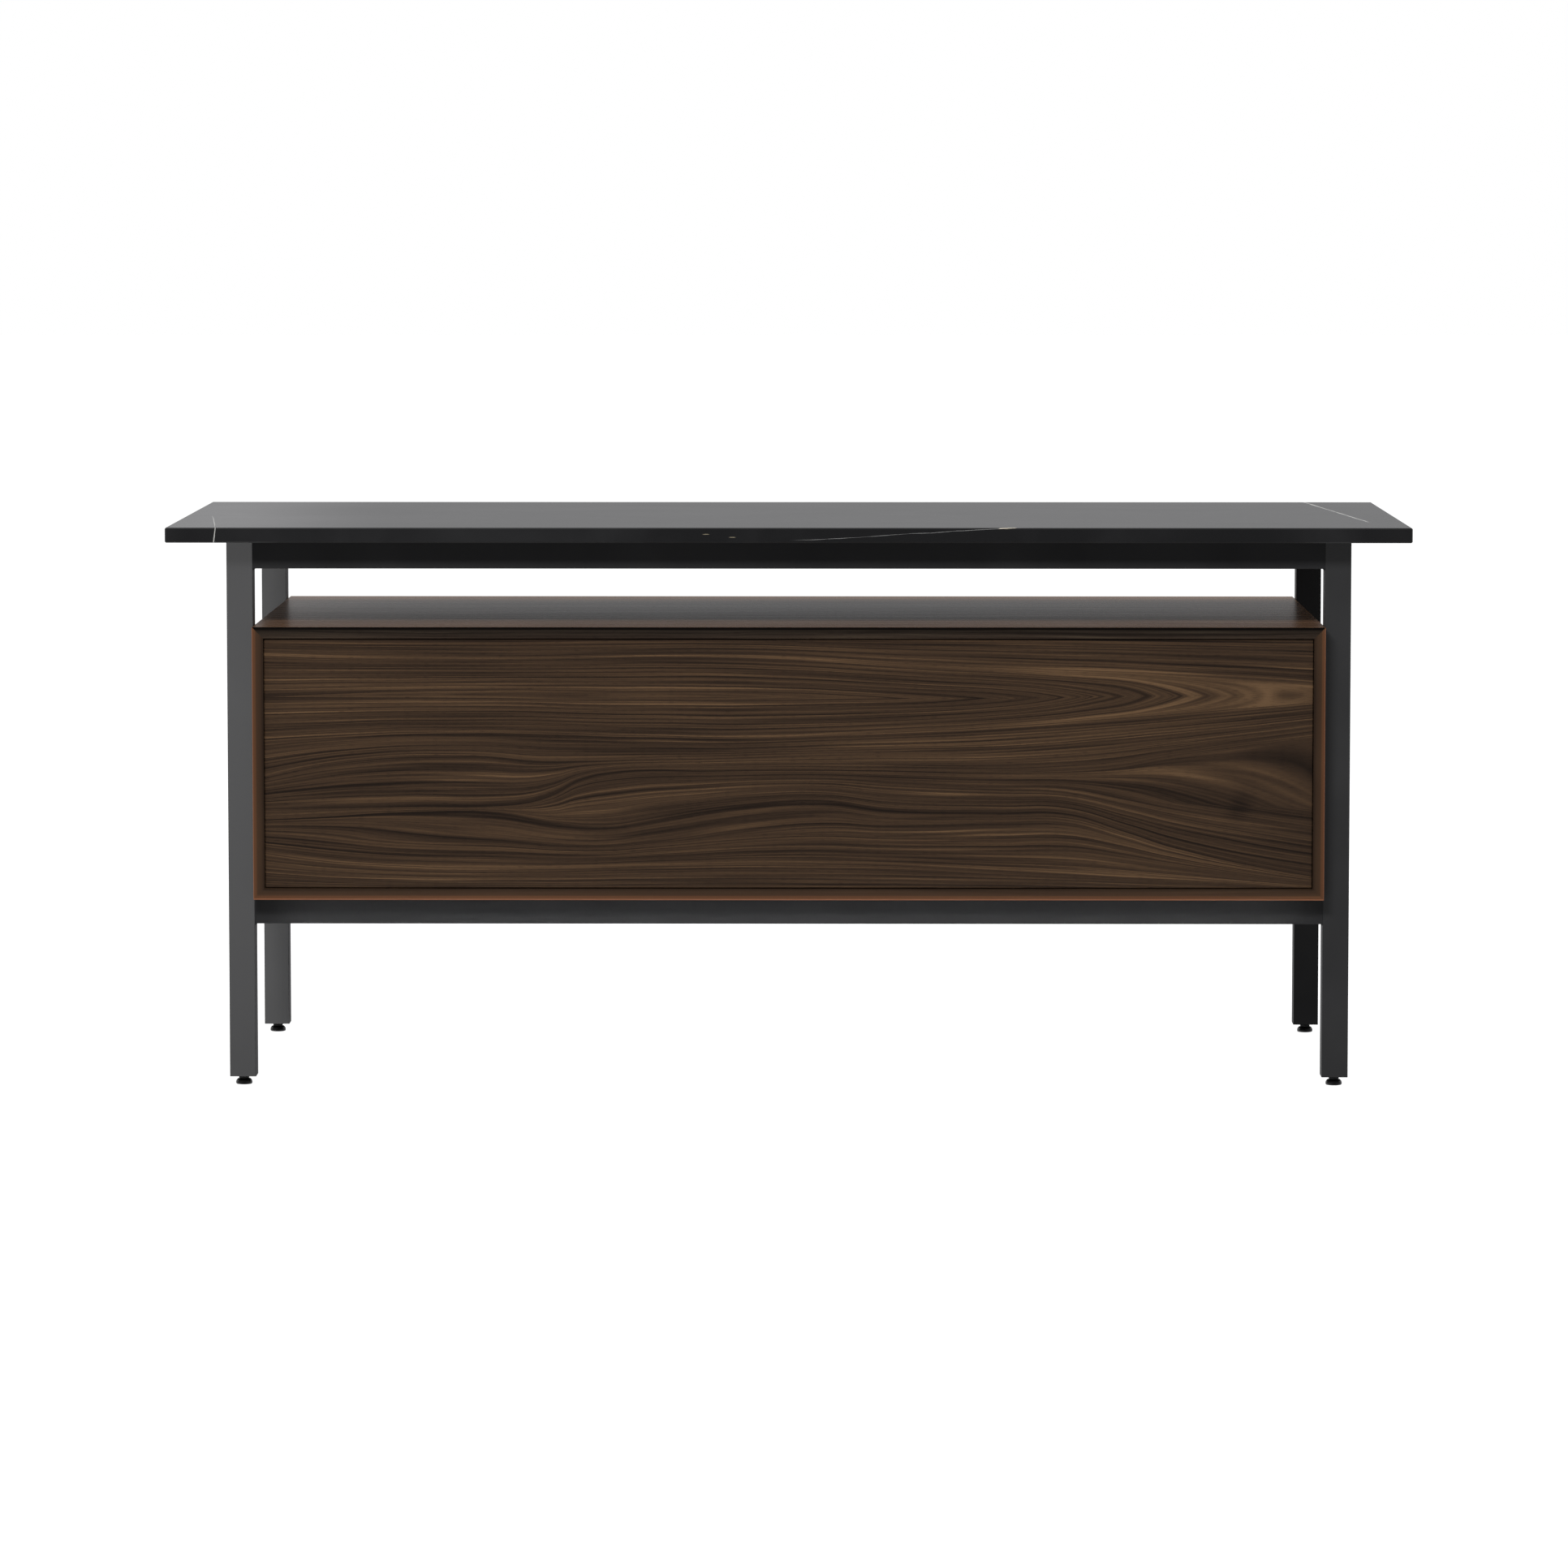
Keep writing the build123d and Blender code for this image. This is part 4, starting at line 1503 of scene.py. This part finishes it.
@dataclass
class WalnutCase:
    """The veneered case between the legs."""

    low: Vector = field(default_factory=lambda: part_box("closing_panel")[0])
    high: Vector = field(default_factory=lambda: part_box("closing_panel")[1])
    top: float = field(default_factory=lambda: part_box("case_top")[1].z)

    def edge(self) -> EdgeBandAndPaintedLight:
        """The band on the case's front and back edges, with its painted highlight and shade."""
        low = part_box("case_bottom")[0]
        return EdgeBandAndPaintedLight(-low.y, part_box("case_side_right")[1].x, low.z, 15 * MM)

    def panel(self) -> WalnutVeneer:
        """Draws the closing panel's one long leaf, with the figure that the desk shows its visitor.

        Returns:
            The panel's veneer.
        """
        return WalnutVeneer(
            "walnut_veneer_closing_panel",
            Grain.FRONT,
            seed=2.0,
            low=self.low.z,
            high=self.high.z,
            left=-0.70,
            right=0.70,
            courses=(
                Course(((-0.70, 0.262), (0.70, 0.262)), 6.0),
                Course(
                    ((-0.70, 0.316), (-0.57, 0.301), (-0.34, 0.297), (-0.18, 0.300), (0.0, 0.302),
                     (0.20, 0.297), (0.43, 0.285), (0.70, 0.270)),
                    6.0,
                    ((-0.70, 0.0), (-0.64, 0.2), (-0.50, 1.6), (-0.30, 2.0), (0.10, 1.2),
                     (0.45, 0.0), (0.70, 0.0)),
                ),
                Course(
                    ((-0.70, 0.360), (-0.62, 0.364), (-0.49, 0.371), (-0.39, 0.371), (-0.30, 0.356),
                     (-0.24, 0.353), (-0.18, 0.362), (-0.06, 0.379), (0.05, 0.384), (0.13, 0.374),
                     (0.28, 0.370), (0.37, 0.369), (0.45, 0.345), (0.51, 0.325), (0.70, 0.285)),
                    6.0,
                    ((-0.70, 0.0), (0.30, 0.0), (0.40, 0.6), (0.52, 1.6), (0.62, 2.2), (0.70, 2.6)),
                ),
                Course(
                    ((-0.70, 0.374), (-0.50, 0.378), (-0.39, 0.379), (-0.345, 0.384),
                     (-0.31, 0.396), (-0.28, 0.413), (-0.24, 0.423), (-0.10, 0.426),
                     (0.10, 0.426), (0.36, 0.425), (0.43, 0.430), (0.51, 0.443),
                     (0.70, 0.467)),
                    4.0,
                ),
                Course(
                    ((-0.70, 0.416), (-0.57, 0.440), (-0.42, 0.445), (-0.33, 0.438), (-0.20, 0.440),
                     (0.0, 0.445), (0.30, 0.452), (0.51, 0.470), (0.70, 0.490)),
                    4.0,
                ),
                Course(
                    ((-0.70, 0.468), (-0.41, 0.479), (-0.18, 0.4725), (-0.07, 0.471), (0.28, 0.485),
                     (0.51, 0.502), (0.70, 0.517)),
                    0.0,
                    ((-0.70, 8.0), (0.0, 8.5), (0.25, 7.0), (0.42, 3.5), (0.53, 0.8), (0.64, 0.0),
                     (0.70, 0.0)),
                ),
                Course(
                    ((-0.70, 0.580), (-0.41, 0.575), (-0.06, 0.578), (0.23, 0.5625), (0.51, 0.550),
                     (0.70, 0.5345)),
                    6.0,
                ),
                Course(((-0.70, 0.610), (0.70, 0.610)),),
            ),
            accents=(
                (26.0, 0.45, 0.17),
                (25.4, 0.35, -0.12),
                (18.0, 0.35, -0.16),
                (12.0, 0.35, -0.14),
                (6.0, 0.40, 0.14),
            ),
            patches=(
                Figure(0.600, 0.379, 0.022, 0.014, -0.16, 60.0),
                Figure(-0.265, 0.368, 0.085, 0.006, 0.13, 1.0),
                Figure(0.205, 0.3935, 0.050, 0.004, 0.12),
                Figure(-0.075, 0.4745, 0.075, 0.004, 0.10),
                Figure(0.60, 0.352, 0.05, 0.008, 0.08, -12.0),
            ),
            wander=3.5,
            wobble=3.0,
            sheen=0.32,
        )

    def build(self) -> None:
        """Dresses the boards, the panel, the dowels and the screws."""
        dress(["closing_panel"], self.panel())
        edge = self.edge()
        # The case top's walnut is painted lighter than the other boards, as painted light, and its
        # EdgeLine adds a line of painted shade along the front arris.
        top = WalnutVeneer(
            "walnut_veneer_top_painted_lighter",
            Grain.FLAT,
            11.0,
            rings=52.0,
            sheen=0.35,
            gloss=0.27,
            relief=0.06,
            tones=TOP_TONES_PAINTED_LIGHTER,
            edge=EdgeLine(edge.half_depth, self.top),
        )
        dress(["case_top"], top)
        bottom = WalnutVeneer("walnut_veneer_bottom", Grain.FLAT, 17.0, rings=48.0, edge=edge)
        dress(["case_bottom"], bottom)
        for side, seed in (("left", 23.0), ("right", 29.0)):
            board = WalnutVeneer(
                f"walnut_veneer_side_{side}", Grain.UPRIGHT, seed, rings=50.0, edge=edge
            )
            dress([f"case_side_{side}"], board)
            partition = WalnutVeneer(
                f"walnut_veneer_partition_{side}", Grain.PARTITION, seed + 3.0, rings=46.0
            )
            dress([f"partition_{side}"], partition)
        dress(["case_dowels"], BEECH)
        dress(["case_screws"], SCREW_ZINC)


@dataclass
class DrawerSet:
    """The four drawers with their pulls, and the balls and cages of their runners."""

    names: tuple[str, ...] = ("lower_left", "upper_left", "lower_right", "upper_right")
    screw_spacing: float = 60 * MM
    ball_radius: float = 1.38
    ball_spacing: float = 12 * MM
    balls: int = 12
    cage_end: float = 9 * MM
    race: float = 2.8 * MM
    sheet: float = 1.2 * MM
    race_across: float = 4.3 * MM
    race_end: float = 10 * MM
    cage_width: float = 7 * MM
    cage_sheet: float = 0.7 * MM
    screw_height: float = 9 * MM

    def pull_screw(self) -> Piece:
        """Models a pan-head screw's head, lying along Y with its socket towards -Y.

        Returns:
            The head, at the origin.
        """
        made = turned(
            "pull_screw",
            [(2.2, 0.0), (3.1, 0.0), (3.2, 0.5), (3.0, 1.15), (2.4, 1.6), (1.55, 1.8), (1.45, 1.7),
             (1.35, 0.8)],
            24,
        )
        made.data.transform(Matrix.Rotation(math.pi / 2, 4, "X"))
        return made

    def screws(self, name: str, screw: Piece) -> None:
        """Adds the three screws that hold a pull's flange to the back of its front.

        Args:
            name: The drawer's name.
            screw: The screw to copy.
        """
        low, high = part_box(f"drawer_{name}_pull")
        middle_x = (low.x + high.x) / 2
        z = low.z + self.screw_height
        places = [(middle_x + step * self.screw_spacing, low.y, z) for step in (-1, 0, 1)]
        copies = [copy_at(screw, "screw", Matrix.Translation(place)) for place in places]
        screws = join(copies, f"pull_screws_{name}")
        complete(screws, f"drawer_{name}", SCREW_ZINC)

    def ball(self) -> Piece:
        """Models one ball with a few dozen faces, because there are hundreds.

        Returns:
            The ball, at the origin.
        """
        begin()
        bpy.ops.mesh.primitive_uv_sphere_add(
            segments=10, ring_count=6, radius=self.ball_radius * MM
        )
        return bpy.context.object

    def cage(self, length: float) -> Piece:
        """Models a ball cage: a flat strip along Y with eased edges.

        Args:
            length: The strip's length.

        Returns:
            The cage, at the origin.
        """
        begin()
        bpy.ops.mesh.primitive_cube_add(size=1)
        made = bpy.context.object
        bpy.ops.transform.resize(value=(self.cage_width, length, self.cage_sheet))
        bpy.ops.object.transform_apply(location=True, rotation=True, scale=True)
        bpy.ops.object.mode_set(mode="EDIT")
        bpy.ops.mesh.select_all(action="SELECT")
        bpy.ops.mesh.bevel(offset=0.2 * MM, segments=2, affect="EDGES")
        bpy.ops.object.mode_set(mode="OBJECT")
        return made

    def races(self, name: str) -> list[Point]:
        """Finds the middle of each race's row of balls: outer rows at the back, inner at the front.

        Args:
            name: The drawer's name.

        Returns:
            Eight places, four for each side's middle member.
        """
        low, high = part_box(f"middle_runners_{name}")
        middle_z = (low.z + high.z) / 2
        half = (high.z - low.z) / 2
        row = self.balls * self.ball_spacing / 2 + self.cage_end
        rows = []
        for x in (low.x + self.race_across, high.x - self.race_across):
            for way in (-1, 1):
                outer = half + self.race / 2
                inner = half - self.sheet - self.race / 2
                rows.append((x, low.y + row + self.race_end, middle_z + way * outer))
                rows.append((x, high.y - row - self.race_end, middle_z + way * inner))
        return rows

    def bearings(self, name: str, ball: Piece, cage: Piece) -> None:
        """Adds the balls and cages of one drawer's runners, on their middle members.

        Args:
            name: The drawer's name.
            ball: The ball to copy.
            cage: The cage to copy.
        """
        balls, cages = [], []
        start = -(self.balls - 1) / 2 * self.ball_spacing
        for x, y, z in self.races(name):
            cages.append(copy_at(cage, "cage", Matrix.Translation((x, y, z))))
            for number in range(self.balls):
                place = (x, y + start + number * self.ball_spacing, z)
                balls.append(copy_at(ball, "ball", Matrix.Translation(place)))
        body = f"middle_runners_{name}"
        complete(join(balls, f"runner_balls_{name}"), body, BALL_STEEL, 60)
        complete(join(cages, f"runner_cages_{name}"), body, RUNNER_ZINC)

    def fronts(self, side: str, seed: float) -> WalnutVeneer:
        """Draws one pedestal's leaf, which runs on from the upper front to the lower one.

        Args:
            side: "left" or "right".
            seed: Where the leaf's noise is read.

        Returns:
            The fronts' veneer.
        """
        low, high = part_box(f"drawer_upper_{side}_front")
        middle_x = (low.x + high.x) / 2
        return WalnutVeneer(
            f"walnut_veneer_fronts_{side}",
            Grain.FRONT,
            seed,
            low=-0.35,
            high=0.35,
            rings=74.0,
            figures=(
                Figure(middle_x + 0.16, 0.41, 0.30, 0.024, 0.050),
                Figure(middle_x - 0.2, 0.54, 0.16, 0.020, 0.026, 5.0),
            ),
            wander=16.0,
        )

    def build(self) -> None:
        """Dresses every drawer and adds its screws and bearings."""
        screw, ball = self.pull_screw(), self.ball()
        cage = self.cage(self.balls * self.ball_spacing + self.cage_end)
        for side, seed in (("left", 41.0), ("right", 47.0)):
            fronts = [f"drawer_{level}_{side}_front" for level in ("lower", "upper")]
            dress(fronts, self.fronts(side, seed))
        for name in self.names:
            dress([f"drawer_{name}_sides"], DRAWER_OAK)
            dress([f"drawer_{name}_back"], BACK_OAK)
            dress([f"drawer_{name}_bottom"], BIRCH_PLY)
            dress([f"drawer_{name}_pull"], PULL_COAT)
            dress([f"drawer_{name}_runners", f"middle_runners_{name}"], RUNNER_ZINC)
            self.screws(name, screw)
            self.bearings(name, ball, cage)
        dress(["cabinet_runners"], RUNNER_ZINC)
        for piece in (screw, ball, cage):
            bpy.data.objects.remove(piece)


# Studio


@dataclass(frozen=True)
class Softbox:
    """A rectangular soft light that the camera doesn't see.

    It hangs at place and points at aim. size is its width and height in metres, power is in watts,
    and spread is the angle of its beam in degrees. only names the CAD nodes that it lights, if it
    doesn't light them all. A wide softbox isn't seen in reflections.
    """

    name: str
    place: Point
    aim: Point
    size: tuple[float, float]
    power: float
    spread: float = 180.0
    only: tuple[str, ...] = ()

    def hang(self) -> None:
        """Adds the light."""
        lamp = bpy.data.lights.new(self.name, "AREA")
        lamp.shape = "RECTANGLE"
        lamp.size, lamp.size_y = self.size
        lamp.energy = self.power
        lamp.spread = math.radians(self.spread)
        made = bpy.data.objects.new(self.name, lamp)
        made.location = self.place
        aim = Vector(self.aim) - Vector(self.place)
        made.rotation_euler = aim.to_track_quat("-Z", "Y").to_euler()
        made.visible_camera = False
        made.visible_glossy = self.spread < 90 or bool(self.only)
        if self.only:
            lit = bpy.data.collections.new(f"{self.name}_lights")
            for node in self.only:
                lit.objects.link(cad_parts[node])
            made.light_linking.receiver_collection = lit
        bpy.context.scene.collection.objects.link(made)


# The key and the fills light the whole desk. The next three lift the legs off the dark behind them,
# and the last draws a soft line along the lower rail.
SOFTBOXES = (
    Softbox("key_above_front", (-0.8, -4.0, 3.1), (0, -0.3, 0.5), (1.6, 0.8), 158),
    Softbox("fill_low_front", (0.0, -2.5, 0.1), (0, -0.3, 0.3), (2.4, 0.3), 2.5),
    Softbox("fill_above_back", (0.4, 2.6, 3.4), (0, 0.2, 0.6), (3.0, 1.6), 105),
    Softbox("side_right", (3.6, 0.4, 0.8), (0.7, 0.3, 0.45), (1.2, 1.0), 40),
    Softbox("side_left", (-3.6, 0.5, 0.8), (-0.7, 0.3, 0.45), (1.2, 1.0), 36),
    Softbox(
        "left_legs", (-1.2, -4.0, 0.2), (-0.73, -0.3, 0.3), (0.8, 0.9), 54,
        only=("leg_visitor_left", "leg_user_left"),
    ),
    Softbox(
        "left_leg_behind", (-1.2, -4.0, -0.1), (-0.73, 0.265, 0.1), (0.8, 0.3), 32,
        only=("leg_user_left",),
    ),
    Softbox(
        "right_leg", (1.2, -4.0, 0.35), (0.73, -0.3, 0.3), (0.8, 0.9), 8,
        only=("leg_visitor_right",),
    ),
    Softbox("low_beam", (0.0, -1.6, 0.06), (0.0, -0.3, 0.222), (1.35, 0.05), 0.035, 5),
)

# The room's greys from straight down to straight up, towards the visitor and towards the user
ROOM_AHEAD = (
    (0.0, "#a4a4a4"),
    (0.3, "#909090"),
    (0.44, "#464647"),
    (0.54, "#404041"),
    (0.75, "#5c5c5c"),
    (1.0, "#b0b0b0"),
)
ROOM_BEHIND = (
    (0.0, "#b4b4b4"),
    (0.3, "#a8a8a8"),
    (0.44, "#8e8e8f"),
    (0.54, "#939394"),
    (0.75, "#a8a8a8"),
    (1.0, "#c0c0c0"),
)


@dataclass
class Studio:
    """The floor, the lights, the white surroundings and the camera."""

    camera_place: Point = (0.0587, -9.4216, 1.2286)
    camera_aim: Point = (-0.0082, 0.0, 0.3786)
    lens: float = 157.7
    floor_size: float = 80.0

    def floor(self) -> None:
        """Adds the pale floor."""
        begin()
        bpy.ops.mesh.primitive_plane_add(size=self.floor_size, location=(0, 0, 0))
        made = bpy.context.object
        made.name = "floor"
        made.data.materials.append(StudioFloor("glowing_white_floor").material())
        made.visible_diffuse = made.visible_glossy = made.visible_shadow = False

    def surroundings(self) -> None:
        """Sets a white background for the camera, and a dimmer room for light and reflections."""
        world = bpy.data.worlds.new("studio")
        world.use_nodes = True
        tree = world.node_tree
        tree.nodes.clear()
        way = add_node(tree, "TexCoord", output="Generated")
        up = add_node(tree, "SeparateXYZ", {0: way}, "Z")
        up = add_node(tree, "MapRange", {"Value": up, "From Min": -1.0, "From Max": 1.0})
        ahead = add_node(tree, "ValToRGB", {"Fac": up}, stops=ROOM_AHEAD)
        behind = add_node(tree, "ValToRGB", {"Fac": up}, stops=ROOM_BEHIND)
        turn = add_node(
            tree,
            "MapRange",
            {"Value": add_node(tree, "SeparateXYZ", {0: way}, "Y"), "From Min": -0.3,
             "From Max": 0.5},
            interpolation_type="SMOOTHSTEP",
        )
        room = add_node(tree, "Mix", {0: turn, 6: ahead, 7: behind}, 2, data_type="RGBA")
        sideways = add_node(tree, "SeparateXYZ", {0: way}, "X")
        # The room is lighter on the left of its middle, and lightest at both sides.
        left = add_node(
            tree,
            "MapRange",
            {"Value": sideways, "From Min": -0.064, "From Max": -0.088, "To Min": 1.0,
             "To Max": 1.36},
            interpolation_type="SMOOTHSTEP",
        )
        room = add_node(tree, "VectorMath", {0: room, "Scale": left}, operation="SCALE")
        wide = add_node(tree, "Math", {0: sideways}, operation="ABSOLUTE")
        wide = add_node(
            tree,
            "MapRange",
            {"Value": wide, "From Min": 0.35, "From Max": 0.75, "To Min": 1.0, "To Max": 2.2},
            interpolation_type="SMOOTHSTEP",
        )
        room = add_node(tree, "VectorMath", {0: room, "Scale": wide}, operation="SCALE")
        seen = add_node(tree, "LightPath", output="Is Camera Ray")
        colour = add_node(
            tree, "Mix", {0: seen, 6: room, 7: linear("#ffffff")}, 2, data_type="RGBA"
        )
        light = add_node(tree, "Background", {"Color": colour, "Strength": 1.0})
        end = tree.nodes.new("ShaderNodeOutputWorld")
        tree.links.new(light, end.inputs["Surface"])
        bpy.context.scene.world = world

    def camera(self) -> None:
        """Adds the camera at eye height, a long way back."""
        data = bpy.data.cameras.new("camera")
        data.lens = self.lens
        data.sensor_width = 36.0
        data.clip_end = 200.0
        made = bpy.data.objects.new("camera", data)
        made.location = self.camera_place
        aim = Vector(self.camera_aim) - Vector(self.camera_place)
        made.rotation_euler = aim.to_track_quat("-Z", "Y").to_euler()
        bpy.context.scene.collection.objects.link(made)
        bpy.context.scene.camera = made

    def build(self) -> None:
        """Sets up the whole studio."""
        self.floor()
        for softbox in SOFTBOXES:
            softbox.hang()
        self.surroundings()
        self.camera()
        bpy.context.scene.view_settings.view_transform = "Standard"
        log.info("studio: floor, %d softboxes, surroundings and camera", len(SOFTBOXES))


def main() -> None:
    """Builds the desk's looks and its studio."""
    StoneTop().build()
    SteelFrame().build()
    LevellingFeet().build()
    WalnutCase().build()
    DrawerSet().build()
    Studio().build()


if __name__ == "__main__":
    main()
